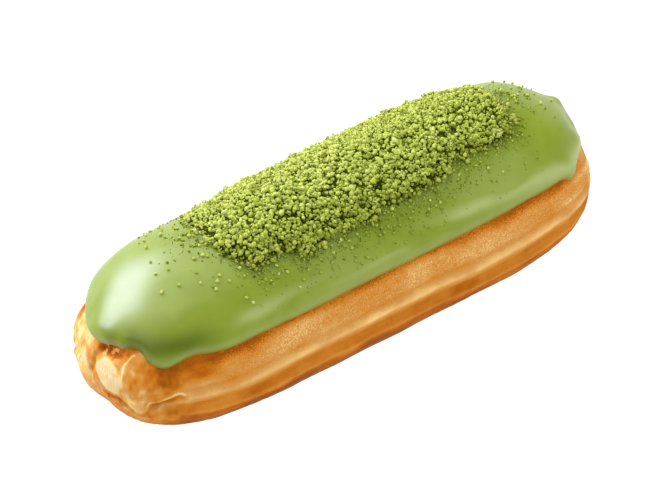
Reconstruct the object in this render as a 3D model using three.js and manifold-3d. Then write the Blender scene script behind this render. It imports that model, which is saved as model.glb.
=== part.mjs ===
import * as THREE from "three";
import { ParametricGeometry } from "three/addons/geometries/ParametricGeometry.js";
import { mergeVertices } from "three/addons/utils/BufferGeometryUtils.js";
import Module from "manifold-3d";

// An eclair in millimetres: +X along the bun, +Z up, the origin under its middle where it rests.

// Bun: piped choux paste with rounded ends, a flat sole and ridges along its sides.
const HALF_LENGTH = 65;
const HALF_WIDTH = 21.2;
const CROWN_LEVEL = 35.3;
const TIP_LEVEL = 12.8;
const SHOULDER_CUT = 0.05;
const SOLE_OVERRUN = 2.3;
const SOLE_POWER = 2.82;
const SIDE_POWER = 5.75;
const TOP_POWER = 3.94;
const END_ROOT = 2.23;
const CORE_HALF = 45;

// Ridges and furrows: degrees above the widest level, height (negative for a furrow) and spread.
const RIDGES = [
  { angle: 13.5, height: 0.35, spread: 5.5 },
  { angle: 5.5, height: -0.25, spread: 2.2 },
  { angle: 0, height: 0.4, spread: 3.2 },
  { angle: -8, height: -0.7, spread: 3.2 },
  { angle: -14, height: 0.3, spread: 2 },
];
const LONG_SWAY = { degrees: 0.8, length: 11 };
const SHORT_SWAY = { degrees: 0.4, length: 5.3 };
const UNEVEN = { height: 0.12, length: 7, shorter: 4.1 };

// Piping tail at the near end: a nub, the lobes round it and the seams between them. Each is placed by its
// level and by an arc round the end, from the tip towards the front.
const TAIL_Y = -4.6;
const TAIL_RISE = 2.8;
const TAIL_START = 0.92;
const TAIL_RELIEF = { from: 50, to: 60 };
const END_CENTRE = 46;
const END_RADIUS = 19;
const TAIL_LOBES = [
  { arc: 5, level: 16.3, height: 0.3, spread: 3 },
  { arc: 13, level: 17, height: 0.9, spread: 3.8 },
  { arc: -5, level: 15.5, height: 0.6, spread: 4 },
  { arc: 4.5, level: 7.8, height: 0.4, spread: 3.6 },
  { arc: -7, level: 7, height: 0.8, spread: 5 },
];
const TAIL_SEAMS = [
  { depth: 1.3, spread: 1.4, points: [[1.7, 20.8], [3.7, 22], [6, 22.2]] },
  { depth: 0.8, spread: 1.2, points: [[1.5, 20.3], [-0.4, 17.9], [-0.3, 16.1], [-2.4, 12.4], [-3.9, 9.1]] },
  { depth: 0.6, spread: 1.2, points: [[9.3, 21.4], [8.2, 19.9], [8.6, 16]] },
  { depth: 0.6, spread: 1.1, points: [[2.4, 9.9], [5.3, 10.7], [8, 11.8], [9, 11.3], [10.4, 9.8]] },
  { depth: 0.9, spread: 1.0, points: [[14.6, 10.9], [16.6, 11.7], [19.4, 12.4], [20.6, 12.9]] },
];

// Icing: a dipped cap with a nearly level rim, drips (a rise is a negative drop) and a lump at the far end.
const GAP = 0.35;
const RIM_LEVEL = 21.1;
const ICING_THICKNESS = 1.8;
const BEAD = { width: 3.6, height: 1.1 };
const RIM_TO_CROWN = 27;
const ICING_GROWTH = { from: 2, to: 14 };
const ICING_SPINE = 44;
const ICING_STRAIGHT = 17;
const ICING_FAN = 22;
const ICING_OUTER = [0, 0.2, 0.38, 0.55, 0.7, 0.81, 0.89, 0.94, 0.97, 0.988, 0.997];
const ICING_INNER = [1, 0.92, 0.78, 0.62, 0.42, 0.2, 0];
const DRIPS = [
  { x: 54, y: -13.5, drop: 0.7, spread: 9 },
  { x: 52, y: -15.2, drop: 1.3, spread: 2.2 },
  { x: -26, y: 19, drop: 1.2, spread: 8 },
  { x: 18, y: 19, drop: 0.9, spread: 10 },
  { x: 55, y: 14, drop: 1.6, spread: 5 },
];
// Drop of the rim round the near end, by the arc: a notch over the nub, then the big drip.
const NEAR_RIM = [
  [-20, 0], [-12, -0.5], [-5, -0.45], [0, -0.4], [3.4, -1.45], [5.7, -2.25], [8.2, -1.7], [11.2, -0.95],
  [13.5, 0.4], [16.2, 1.3], [18.1, 1.55], [20.3, 0.9], [22.9, 0.05], [25.1, -0.2], [29, 0.1], [33, 0.38],
  [40, 0],
];
// Lumps where the icing set thicker (a hollow is a negative height); they fade out towards the rim.
const LUMP_FADE = 4;
const LUMPS = [
  { x: 60.4, y: 0.2, height: 1.1, spread: 1.7 },
  { x: 60, y: -6, height: -0.6, spread: 2.5 },
  { x: 60, y: -10.5, height: 0.5, spread: 3 },
  { x: 56, y: 5, height: -0.5, spread: 6 },
  { x: -54, y: -8, height: 0.4, spread: 8 },
  { x: -60.5, y: -2.2, height: 0.7, spread: 2.2 },
  { x: -60, y: 0.8, height: -0.35, spread: 4.3 },
  { x: -60.7, y: 1.3, height: 0.75, spread: 2.9 },
  { x: -47, y: 12, height: 1.3, spread: 10 },
  { x: 51, y: 7.5, height: 0.8, spread: 7 },
];

// Crumbs: a thin heap along the crown with a ragged outline, bumps of crumb size and some clumps.
const HEAP_MIDDLE = 4.6;
const HEAP_HALF_LENGTH = 40.7;
const HEAP_FRONT_REACH = 14.2;
const HEAP_BACK_REACH = 17;
// Places where the heap reaches further to the front or the back, or less far.
const HEAP_LOBES = [
  { x: -31, front: true, reach: 3, spread: 4 },
  { x: -17, front: true, reach: 2, spread: 5 },
  { x: 13, front: true, reach: 1.2, spread: 4 },
  { x: 25, front: true, reach: -2.2, spread: 6 },
  { x: -28, front: false, reach: -3.5, spread: 7 },
  { x: 47, front: false, reach: -6, spread: 6 },
];
const HEAP_POWER = 5;
const HEAP_ROOT = 2.6;
const HEAP_RADIUS = 24;
const HEAP_THICKNESS = 1.2;
const HEAP_END_POWER = 12;
const HEAP_EDGE_POWER = 6;
const HEAP_ROWS = 50;
const HEAP_CROWDING = 1.3;
const HEAP_COLUMNS = 19;
const BED_COLUMNS = 7;
const GRIT_HEIGHT = 1.0;
const GRIT_SHIFT = 0.7;
const RAGGED = 2.2;
const CLUMP_COUNT = 118;
const CLUMP_SMALL = 0.85;
const CLUMP_LARGE = 1.3;
const CLUMP_FIELD = 0.9;
const CLUMP_SINK = 0.3;

// Spacing of the bun's rows from tip to tip and of its columns from crown to sole, as shares of the steps.
const BUN_ROWS = 50;
const BUN_COLUMNS = 54;
const ROW_SPANS = [
  { end: 0.14, from: -90, to: -76 },
  { end: 0.26, from: -76, to: -60 },
  { end: 0.84, from: -60, to: 60 },
  { end: 1, from: 60, to: 90 },
];
const COVERED_TURN = 64;
const RIDGED_TURN = 109;

const { clamp, degToRad, radToDeg, smoothstep } = THREE.MathUtils;

function bell(distance, spread) {
  return Math.exp(-((distance / spread) ** 2));
}

function seeded(start) {
  let state = start;
  return () => {
    state = (state * 16807) % 2147483647;
    return state / 2147483647;
  };
}

// Value at a share of the steps, where each span spaces its own part evenly.
function spaced(spans, share) {
  let start = 0;
  for (const span of spans) {
    if (share <= span.end + 1e-9) {
      return span.from + ((span.to - span.from) * (share - start)) / (span.end - start);
    }
    start = span.end;
  }
  return spans[spans.length - 1].to;
}

// Radius of the middle cross-section at a turn from the crown: a sloped half ellipse above, squarer below.
function sectionRadius(turn) {
  const above = Math.cos(turn) >= 0;
  const power = above ? 2 : SOLE_POWER;
  const reach = above ? CROWN_LEVEL - TIP_LEVEL : TIP_LEVEL + SOLE_OVERRUN;
  const across = Math.abs(Math.sin(turn)) / HALF_WIDTH;
  const along = Math.abs(Math.cos(turn)) / reach;
  const cut = above ? SHOULDER_CUT * Math.sin(2 * turn) ** 2 : 0;
  return (1 - cut) * (across ** power + along ** power) ** (-1 / power);
}

// Share of the middle section that is left at a station: the top falls off sooner than the sides.
function taper(station, turn) {
  const reach = Math.abs(Math.sin(station));
  const side = (1 - reach ** SIDE_POWER) ** (1 / END_ROOT);
  const top = (1 - reach ** TOP_POWER) ** (1 / END_ROOT);
  return side + (top - side) * Math.max(Math.cos(turn), 0) ** 2;
}

// Smooth bun at a station (-90 to 90 degrees, tip to tip) and a turn from the crown towards the front.
function smoothPoint(station, turn) {
  const radius = taper(station, turn) * sectionRadius(turn);
  const tail = smoothstep(-Math.sin(station), TAIL_START, 1);
  return new THREE.Vector3(
    HALF_LENGTH * Math.sin(station),
    TAIL_Y * tail - radius * Math.sin(turn),
    TIP_LEVEL + TAIL_RISE * tail + radius * Math.cos(turn),
  );
}

// Arc round the near end to a point, from the tip towards the front.
function endArc(point) {
  return END_RADIUS * Math.atan2(-point.y, -(point.x + END_CENTRE));
}

// Height of a smooth curve through knots: a cubic whose slope at a knot is that between its neighbours.
function curveThrough(knots, at) {
  const last = knots.length - 1;
  if (at <= knots[0][0] || at >= knots[last][0]) {
    return knots[at <= knots[0][0] ? 0 : last][1];
  }
  const next = knots.findIndex(([place]) => place > at);
  const slope = (index) => {
    const [from, to] = [knots[Math.max(index - 1, 0)], knots[Math.min(index + 1, last)]];
    return (to[1] - from[1]) / (to[0] - from[0]);
  };
  const [start, end] = [knots[next - 1], knots[next]];
  const run = end[0] - start[0];
  const share = (at - start[0]) / run;
  const blend = share * share * (3 - 2 * share);
  const leaving = slope(next - 1) * run * share * (1 - share) ** 2;
  const arriving = slope(next) * run * share * share * (share - 1);
  return start[1] + (end[1] - start[1]) * blend + leaving + arriving;
}

function seamDistance(arc, level, points) {
  let nearest = Infinity;
  for (let at = 1; at < points.length; at += 1) {
    const [startArc, startLevel] = points[at - 1];
    const runArc = points[at][0] - startArc;
    const runLevel = points[at][1] - startLevel;
    const ahead = (arc - startArc) * runArc + (level - startLevel) * runLevel;
    const share = clamp(ahead / (runArc ** 2 + runLevel ** 2), 0, 1);
    const aside = Math.hypot(arc - startArc - share * runArc, level - startLevel - share * runLevel);
    nearest = Math.min(nearest, aside);
  }
  return nearest;
}

// Lobes of the tail, and its seams unless something lies over them and bridges them.
function tailRelief(point, bridged) {
  const arc = endArc(point);
  let height = 0;
  for (const lobe of TAIL_LOBES) {
    height += lobe.height * bell(Math.hypot(arc - lobe.arc, point.z - lobe.level), lobe.spread);
  }
  for (const seam of bridged ? [] : TAIL_SEAMS) {
    height -= seam.depth * bell(seamDistance(arc, point.z, seam.points), seam.spread);
  }
  return height;
}

// Height of the ridges, the piping tail and the gentle unevenness over the smooth bun.
function relief(point, station, turn, bridged) {
  const narrow = taper(station, Math.PI / 2);
  const angle = 90 - radToDeg(Math.abs(turn));
  const longSway = LONG_SWAY.degrees * Math.sin(point.x / LONG_SWAY.length + 2 * Math.sign(turn));
  const sway = longSway + SHORT_SWAY.degrees * Math.sin(point.x / SHORT_SWAY.length);
  let height = 0;
  for (const ridge of RIDGES) {
    height += ridge.height * bell(angle - ridge.angle - sway, ridge.spread);
  }
  height *= smoothstep(narrow, 0.25, 0.75);
  height += tailRelief(point, bridged) * smoothstep(-point.x, TAIL_RELIEF.from, TAIL_RELIEF.to);
  const waves = Math.sin(point.x / UNEVEN.length + 3 * turn) * Math.sin(point.x / UNEVEN.shorter - 2 * turn);
  return height + UNEVEN.height * waves * narrow * smoothstep(-angle, -30, -5);
}

// Bun with its relief, cut flat at the sole; bridged, it has no furrows and no seams.
function bunPoint(station, turn, bridged) {
  const point = smoothPoint(station, turn);
  const centre = new THREE.Vector3(clamp(point.x, -CORE_HALF, CORE_HALF), 0, TIP_LEVEL);
  const outward = point.clone().sub(centre).normalize();
  const height = relief(point, station, turn, bridged);
  point.addScaledVector(outward, bridged ? Math.max(height, 0) : height);
  point.z = Math.max(point.z, 0);
  return point;
}

// Point above the bun by a height along the smooth normal, bridging the furrows.
function lifted(station, turn, height) {
  const step = 0.004;
  const along = smoothPoint(station + step, turn).sub(smoothPoint(station - step, turn));
  const round = smoothPoint(station, turn + step).sub(smoothPoint(station, turn - step));
  const normal = new THREE.Vector3().crossVectors(round, along).normalize();
  return bunPoint(station, turn, true).addScaledVector(normal, height);
}

// Turn, in degrees, at which the lower side meets the sole; straight down where an end lifts clear of it.
function soleTurn(station) {
  if (smoothPoint(station, Math.PI).z >= 0) {
    return 180;
  }
  let above = RIDGED_TURN;
  let below = 180;
  for (let step = 0; step < 40; step += 1) {
    const middle = (above + below) / 2;
    if (smoothPoint(station, degToRad(middle)).z > 0) {
      above = middle;
    } else {
      below = middle;
    }
  }
  return above;
}

// One closed body: corners that coincide become one and triangles without area go.
function closedBody(surface, slices, stacks) {
  const grid = new ParametricGeometry(surface, slices, stacks);
  grid.deleteAttribute("normal");
  grid.deleteAttribute("uv");
  const merged = mergeVertices(grid, 1e-3);
  const corners = merged.getIndex().array;
  const kept = [];
  for (let at = 0; at < corners.length; at += 3) {
    const [a, b, c] = corners.slice(at, at + 3);
    if (a !== b && b !== c && c !== a) {
      kept.push(a, b, c);
    }
  }
  merged.setIndex(kept);
  return merged;
}

// Bun columns: few on the covered top and the sole, many on the ridged sides.
function bunSurface(around, along, target) {
  const station = degToRad(spaced(ROW_SPANS, along));
  const edge = soleTurn(station);
  const columns = [
    { end: 0.15, from: 0, to: COVERED_TURN },
    { end: 0.75, from: COVERED_TURN, to: RIDGED_TURN },
    { end: 0.93, from: RIDGED_TURN, to: edge },
    { end: 1, from: edge, to: 180 },
  ];
  const side = around < 0.5 ? 1 : -1;
  const share = around < 0.5 ? 2 * around : 2 - 2 * around;
  target.copy(bunPoint(station, side * degToRad(spaced(columns, share)), false));
}

// Loop round a patch: a straight front, a fan at the far end, a straight back and a fan at the near end.
function loopRay(step, straight, fan, nearEnd, farEnd) {
  const quarter = Math.PI / 2;
  if (step < straight) {
    return { x: nearEnd + ((farEnd - nearEnd) * step) / straight, heading: -quarter, fans: 0 };
  }
  if (step <= straight + fan) {
    return { x: farEnd, heading: -quarter + (Math.PI * (step - straight)) / fan, fans: 1 };
  }
  if (step < 2 * straight + fan) {
    const share = (step - straight - fan) / straight;
    return { x: farEnd + (nearEnd - farEnd) * share, heading: quarter, fans: 0 };
  }
  return { x: nearEnd, heading: quarter + (Math.PI * (step - 2 * straight - fan)) / fan, fans: 1 };
}

// Station and turn at a distance along an icing ray from the crown line towards the rim.
function icingSpot(ray, distance) {
  const start = Math.asin(ray.x / HALF_LENGTH);
  const room = Math.PI / 2 - Math.abs(start);
  return {
    station: start + ray.fans * Math.cos(ray.heading) * room * distance,
    turn: (-Math.sin(ray.heading) * Math.PI * distance) / 2,
  };
}

function rayToLevel(ray, level) {
  let low = 0;
  let high = 1;
  for (let step = 0; step < 40; step += 1) {
    const middle = (low + high) / 2;
    const spot = icingSpot(ray, middle);
    if (smoothPoint(spot.station, spot.turn).z > level) {
      low = middle;
    } else {
      high = middle;
    }
  }
  return low;
}

function rimDistance(ray) {
  const spot = icingSpot(ray, rayToLevel(ray, RIM_LEVEL));
  const even = smoothPoint(spot.station, spot.turn);
  let drop = even.x < 0 ? curveThrough(NEAR_RIM, endArc(even)) : 0;
  for (const drip of DRIPS) {
    drop += drip.drop * bell(Math.hypot(even.x - drip.x, even.y - drip.y), drip.spread);
  }
  return rayToLevel(ray, RIM_LEVEL - drop);
}

// Icing over the bun: a rounded bead at the rim, then a growth to the full thickness, and the lumps.
function icingHeight(point, fromRim) {
  const bead = BEAD.height * (1 - Math.max(1 - fromRim / BEAD.width, 0) ** 2);
  const growth = (ICING_THICKNESS - BEAD.height) * smoothstep(fromRim, ICING_GROWTH.from, ICING_GROWTH.to);
  let lumps = 0;
  for (const lump of LUMPS) {
    lumps += lump.height * bell(Math.hypot(point.x - lump.x, point.y - lump.y), lump.spread);
  }
  return bead + growth + lumps * smoothstep(fromRim, 0, LUMP_FADE);
}

const ICING_LOOP = 2 * (ICING_STRAIGHT + ICING_FAN);
const ICING_STACKS = ICING_OUTER.length + ICING_INNER.length - 1;

function icingSurface(around, across, target) {
  const step = Math.round((1 - around) * ICING_LOOP) % ICING_LOOP;
  const ray = loopRay(step, ICING_STRAIGHT, ICING_FAN, -ICING_SPINE, ICING_SPINE);
  const row = Math.round(across * ICING_STACKS);
  const outer = row < ICING_OUTER.length;
  const share = outer ? ICING_OUTER[row] : ICING_INNER[row - ICING_OUTER.length];
  const spot = icingSpot(ray, share * rimDistance(ray));
  const base = smoothPoint(spot.station, spot.turn);
  const height = outer ? icingHeight(base, (1 - share) * RIM_TO_CROWN) : 0;
  target.copy(lifted(spot.station, spot.turn, GAP + height));
}

// One random share between -0.5 and 0.5 for each place of a grid.
function scatter(start, count) {
  const random = seeded(start);
  return Array.from({ length: count }, () => random() - 0.5);
}

const HEAP_LOOP = HEAP_COLUMNS + BED_COLUMNS;
const frontRagged = scatter(523, HEAP_ROWS + 1);
const backRagged = scatter(1931, HEAP_ROWS + 1);
const gritHeights = scatter(8117, (HEAP_ROWS + 1) * HEAP_COLUMNS);
const gritShifts = scatter(6151, (HEAP_ROWS + 1) * HEAP_COLUMNS);
const gritSlides = scatter(2477, (HEAP_ROWS + 1) * HEAP_COLUMNS);

// Reach of the heap to the front or the back of the crown line at a share of its half length.
function heapReach(along, front) {
  const x = HEAP_MIDDLE + HEAP_HALF_LENGTH * along;
  let reach = front ? HEAP_FRONT_REACH : HEAP_BACK_REACH;
  for (const lobe of HEAP_LOBES) {
    if (lobe.front === front) reach += lobe.reach * bell(x - lobe.x, lobe.spread);
  }
  return reach * (1 - Math.abs(along) ** HEAP_POWER) ** (1 / HEAP_ROOT);
}

function heapHeight(along, across) {
  return HEAP_THICKNESS * Math.sqrt((1 - along ** HEAP_END_POWER) * (1 - across ** HEAP_EDGE_POWER));
}

// Point over the icing by a height, at x along the bun and an arc round it (positive to the back).
function onIcing(x, arc, height) {
  const station = Math.asin(x / HALF_LENGTH);
  const turn = -arc / HEAP_RADIUS;
  const base = smoothPoint(station, turn);
  return lifted(station, turn, 2 * GAP + icingHeight(base, RIM_TO_CROWN) + height);
}

// Heap: over the top from its front edge to its back edge, then back under it on the icing.
function heapSurface(around, through, target) {
  const row = Math.round(through * HEAP_ROWS);
  const column = Math.round((1 - around) * HEAP_LOOP) % HEAP_LOOP;
  const even = (2 * row) / HEAP_ROWS - 1;
  const along = Math.sign(even) * (1 - (1 - Math.abs(even)) ** HEAP_CROWDING);
  const upper = column <= HEAP_COLUMNS;
  const across = upper ? (2 * column) / HEAP_COLUMNS - 1 : 1 - (2 * (column - HEAP_COLUMNS)) / BED_COLUMNS;
  const front = across < 0;
  const end = row === 0 || row === HEAP_ROWS;
  const loose = upper && !end && Math.abs(across) < 0.999;
  const place = row * HEAP_COLUMNS + (column % HEAP_COLUMNS);
  const ragged = end ? 0 : RAGGED * (front ? frontRagged[row] : backRagged[row]);
  const shift = loose ? GRIT_SHIFT * gritShifts[place] : 0;
  const rise = loose ? heapHeight(along, across) + GRIT_HEIGHT * (1 - across ** 4) * gritHeights[place] : 0;
  const slide = loose ? GRIT_SHIFT * gritSlides[place] : 0;
  const x = HEAP_MIDDLE + HEAP_HALF_LENGTH * along + shift;
  target.copy(onIcing(x, across * (heapReach(along, front) + ragged) + slide, Math.max(rise, 0)));
}

const wasm = await Module();
wasm.setup();

function toManifold(geometry) {
  const vertProperties = new Float32Array(geometry.getAttribute("position").array);
  const triVerts = new Uint32Array(geometry.getIndex().array);
  return new wasm.Manifold(new wasm.Mesh({ numProp: 3, vertProperties, triVerts }));
}

function toGeometry(manifold) {
  const mesh = manifold.getMesh();
  const geometry = new THREE.BufferGeometry();
  geometry.setAttribute("position", new THREE.BufferAttribute(new Float32Array(mesh.vertProperties), 3));
  geometry.setIndex(Array.from(mesh.triVerts));
  return geometry;
}

// A clump: one rough ball sunk into the heap.
function clump(random) {
  const along = CLUMP_FIELD * (2 * random() - 1);
  const across = CLUMP_FIELD * (2 * random() - 1);
  const radius = CLUMP_SMALL + (CLUMP_LARGE - CLUMP_SMALL) * random() ** 2;
  const ball = new THREE.OctahedronGeometry(radius);
  ball.deleteAttribute("normal");
  ball.deleteAttribute("uv");
  ball.rotateX(3 * random());
  ball.rotateZ(3 * random());
  const x = HEAP_MIDDLE + HEAP_HALF_LENGTH * along;
  const height = Math.max(heapHeight(along, across) - CLUMP_SINK * radius, 1.02 * radius);
  const spot = onIcing(x, across * heapReach(along, across < 0), height);
  ball.translate(spot.x, spot.y, spot.z);
  return toManifold(mergeVertices(ball, 1e-3));
}

function crumbHeap() {
  const random = seeded(40961);
  const pieces = [toManifold(closedBody(heapSurface, HEAP_LOOP, HEAP_ROWS))];
  while (pieces.length <= CLUMP_COUNT) {
    pieces.push(clump(random));
  }
  const bodies = wasm.Manifold.union(pieces).decompose();
  bodies.sort((a, b) => b.volume() - a.volume());
  return toGeometry(bodies[0]);
}

function named(name, geometry, color, roughness) {
  const material = new THREE.MeshStandardMaterial({ color, roughness, metalness: 0 });
  const mesh = new THREE.Mesh(geometry, material);
  mesh.name = name;
  return mesh;
}

const eclair = new THREE.Group();
eclair.name = "eclair";
eclair.add(named("choux_bun", closedBody(bunSurface, BUN_COLUMNS, BUN_ROWS), 0xdaa562, 0.7));
eclair.add(named("matcha_glaze", closedBody(icingSurface, ICING_LOOP, ICING_STACKS), 0xa5b95f, 0.3));
eclair.add(named("matcha_crumbs", crumbHeap(), 0xa0ae48, 0.95));

export default eclair;
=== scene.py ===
# %% [markdown]
# An eclair: a long bun of baked choux paste, dipped crown down in matcha glaze and strewn with matcha
# crumbs. Its solids are already packed as a fixed frame. This lesson dresses them: every visible surface is
# worked out again with numpy, finer than the solids, from the same few sizes, so each new piece lies where
# its solid lies.

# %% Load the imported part
import math

import bpy
import numpy as np
from mathutils import Matrix, Vector


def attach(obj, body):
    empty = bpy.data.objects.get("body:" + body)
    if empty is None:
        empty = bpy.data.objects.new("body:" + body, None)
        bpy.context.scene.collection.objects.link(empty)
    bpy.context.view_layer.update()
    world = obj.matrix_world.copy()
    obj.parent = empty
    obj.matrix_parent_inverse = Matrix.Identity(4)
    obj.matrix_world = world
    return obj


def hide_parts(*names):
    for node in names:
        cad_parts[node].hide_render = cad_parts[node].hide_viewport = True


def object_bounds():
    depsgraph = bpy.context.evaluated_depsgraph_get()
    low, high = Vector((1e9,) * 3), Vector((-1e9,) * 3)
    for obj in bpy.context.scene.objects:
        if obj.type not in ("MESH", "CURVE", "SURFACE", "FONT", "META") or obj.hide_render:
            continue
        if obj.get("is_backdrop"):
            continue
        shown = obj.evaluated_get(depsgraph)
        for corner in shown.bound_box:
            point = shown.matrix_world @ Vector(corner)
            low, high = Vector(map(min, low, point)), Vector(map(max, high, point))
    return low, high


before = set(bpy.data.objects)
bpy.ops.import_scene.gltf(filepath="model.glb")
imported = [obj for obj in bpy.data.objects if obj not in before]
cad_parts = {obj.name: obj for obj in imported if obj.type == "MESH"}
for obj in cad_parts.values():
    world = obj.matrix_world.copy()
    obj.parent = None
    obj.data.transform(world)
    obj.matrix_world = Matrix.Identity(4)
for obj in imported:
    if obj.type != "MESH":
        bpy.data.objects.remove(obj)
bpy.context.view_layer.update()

MM = 0.001

# %% [markdown]
# The camera comes first, because all the rest is judged through it. The picture was taken from the near
# left, well above the table, with a long lens. A long lens far away keeps the two ends nearly the same
# size, so the camera is given by two angles, a distance and a scale in pixels for each millimetre, and the
# focal length follows.

# %% Camera
IMAGE_WIDTH = 650
SENSOR_WIDTH = 36
AZIMUTH = math.radians(-38.5)
ELEVATION = math.radians(38)
DISTANCE = 1500
PIXELS_PER_MM = 4.625
AIM_RIGHT = -2.227
AIM_UP = 13.254
FAR_CLIP = 10000

right = Vector((math.cos(AZIMUTH), math.sin(AZIMUTH), 0))
flat_back = Vector((math.sin(AZIMUTH), -math.cos(AZIMUTH), 0))
back = flat_back * math.cos(ELEVATION) + Vector((0, 0, math.sin(ELEVATION)))
up = back.cross(right)
lens = bpy.data.cameras.new("camera")
lens.sensor_width = SENSOR_WIDTH
lens.lens = SENSOR_WIDTH * PIXELS_PER_MM * DISTANCE / IMAGE_WIDTH
lens.clip_end = FAR_CLIP * MM
camera = bpy.data.objects.new("camera", lens)
place = (right * AIM_RIGHT + up * AIM_UP + back * DISTANCE) * MM
facing = Matrix((right, up, back)).transposed().to_4x4()
camera.matrix_world = Matrix.Translation(place) @ facing
bpy.context.collection.objects.link(camera)
bpy.context.scene.camera = camera
print("focal length, mm:", round(lens.lens, 1))

# %% [markdown]
# Food has no straight edges, so three small tools shape everything: a soft step, a bell for bumps and
# furrows, and a smooth noise for what is left to chance. The noise is worked out on whole arrays: each
# point looks up the eight random corners of its lattice cell and blends them.

# %% Soft steps, bells and noise
LATTICE = 64


def smoothstep(value, low, high):
    """0 below low, 1 above high and the cubic 3t^2 - 2t^3 between them."""
    share = np.clip((value - low) / (high - low), 0, 1)
    return share * share * (3 - 2 * share)


def bell(distance, spread):
    """1 at distance 0, falling as exp(-(distance / spread)^2)."""
    return np.exp(-((distance / spread) ** 2))


def noise(points, cell, seed):
    """Smooth noise from -1 to 1: random values at lattice corners a cell apart, blended by soft steps."""
    table = np.random.default_rng(seed).uniform(-1, 1, (LATTICE, LATTICE, LATTICE))
    scaled = points / cell
    corner = np.floor(scaled).astype(int)
    blend = smoothstep(scaled - corner, 0, 1)
    total = np.zeros(points.shape[:-1])
    for step in np.ndindex(2, 2, 2):
        weight = np.prod(np.where(step, blend, 1 - blend), axis=-1)
        place = (corner + step) % LATTICE
        total += weight * table[place[..., 0], place[..., 1], place[..., 2]]
    return total


print("noise at three points:", noise(np.eye(3) * 2.5, 1.7, 1).round(2))

# %% [markdown]
# The bun is piped from a bag, so it is long, round on top, flat below and closes in a round end. Two angles
# give a point on it: a station that runs from tip to tip, and a turn that runs round the section from the
# crown to the front. Stretched ellipses would do for the section alone; the taper makes the top fall off
# sooner than the sides.

# %% Smooth form of the bun
HALF_LENGTH = 65
HALF_WIDTH = 21.2
CROWN_LEVEL = 35.3
TIP_LEVEL = 12.8
SHOULDER_CUT = 0.05
SOLE_OVERRUN = 2.3
SOLE_POWER = 2.82
SIDE_POWER = 5.75
TOP_POWER = 3.94
END_ROOT = 2.23
CORE_HALF = 45
TAIL_Y = -4.6
TAIL_RISE = 2.8
TAIL_START = 0.92


def section_radius(turn):
    """Middle section's radius: (|sin|/width)^p + (|cos|/reach)^p = 1, squarer below, shoulders cut above."""
    above = np.cos(turn) >= 0
    power = np.where(above, 2, SOLE_POWER)
    reach = np.where(above, CROWN_LEVEL - TIP_LEVEL, TIP_LEVEL + SOLE_OVERRUN)
    sides = (np.abs(np.sin(turn)) / HALF_WIDTH) ** power + (np.abs(np.cos(turn)) / reach) ** power
    cut = np.where(above, SHOULDER_CUT * np.sin(2 * turn) ** 2, 0)
    return (1 - cut) * sides ** (-1 / power)


def taper(station, turn):
    """Share of the section left at a station, (1 - |sin|^p)^(1/root), blended from side to top by cos^2."""
    reach = np.abs(np.sin(station))
    side = (1 - reach**SIDE_POWER) ** (1 / END_ROOT)
    top = (1 - reach**TOP_POWER) ** (1 / END_ROOT)
    return side + (top - side) * np.maximum(np.cos(turn), 0) ** 2


def smooth_point(station, turn):
    """Point at a station and a turn: a tapered section carried along x, shifted a little at the tail."""
    radius = taper(station, turn) * section_radius(turn)
    tail = smoothstep(-np.sin(station), TAIL_START, 1)
    x = HALF_LENGTH * np.sin(station) + 0 * turn
    y = TAIL_Y * tail - radius * np.sin(turn)
    z = TIP_LEVEL + TAIL_RISE * tail + radius * np.cos(turn)
    return np.stack([x, y, z], axis=-1)


print("crown of the bun, mm:", smooth_point(np.array(0.0), np.array(0.0)).round(2))

# %% [markdown]
# The star tip of the piping bag leaves ridges and furrows along the sides, and where the paste was cut off
# it curls up in a tail with lobes that close round a pale nub. Sculpting would do this by hand. Here each
# ridge is a bell across the side, and the tail has a flat map of its own: an arc round the end, from its
# tip to the front, and the level. Lobes are bells on that map and seams are bells round bent lines, so all
# of them stay easy to move.

# %% Ridges and lobes
RIDGES = [(13.5, 0.35, 5.5), (5.5, -0.25, 2.2), (0, 0.4, 3.2), (-8, -0.7, 3.2), (-14, 0.3, 2)]
TAIL_LOBES = [(5, 16.3, 0.3, 3), (13, 17, 0.9, 3.8), (-5, 15.5, 0.6, 4)]
TAIL_LOBES += [(4.5, 7.8, 0.4, 3.6), (-7, 7, 0.8, 5)]
TAIL_FROM = 50
TAIL_FULL = 60
END_CENTRE = 46
END_RADIUS = 19
WAVE_HEIGHT = 0.12
SWAYS = [(0.8, 11, 2), (0.4, 5.3, 0)]


def side_angle(point, turn):
    """Degrees above the widest level, less slow sines along the bun, as a hand-piped ridge sways."""
    x, side = point[..., 0], np.sign(turn)
    sway = sum(wide * np.sin(x / length + phase * side) for wide, length, phase in SWAYS)
    return 90 - np.degrees(np.abs(turn)) - sway


def end_map(point):
    """Map of the near end: an arc round it, from the tip towards the front, and the level."""
    arc = END_RADIUS * np.arctan2(-point[..., 1], -(point[..., 0] + END_CENTRE))
    return arc, point[..., 2]


def tail_share(point):
    """How much a point belongs to the piping tail at the near end."""
    return smoothstep(-point[..., 0], TAIL_FROM, TAIL_FULL)


def piped_relief(point, station, turn):
    """Sum of the ridges' bells across the side, the tail's lobes and a slow unevenness."""
    narrow = taper(station, np.pi / 2)
    angle = side_angle(point, turn)
    ridges = sum(height * bell(angle - middle, spread) for middle, height, spread in RIDGES)
    arc, level = end_map(point)
    lobes = sum(high * bell(np.hypot(arc - at, level - up), wide) for at, up, high, wide in TAIL_LOBES)
    waves = np.sin(point[..., 0] / 7 + 3 * turn) * np.sin(point[..., 0] / 4.1 - 2 * turn)
    low_side = narrow * smoothstep(np.degrees(np.abs(turn)) - 90, -30, -5)
    relief = ridges * smoothstep(narrow, 0.25, 0.75) + lobes * tail_share(point)
    return relief + WAVE_HEIGHT * waves * low_side


print("ridges:", len(RIDGES), "lobes:", len(TAIL_LOBES))

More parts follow.
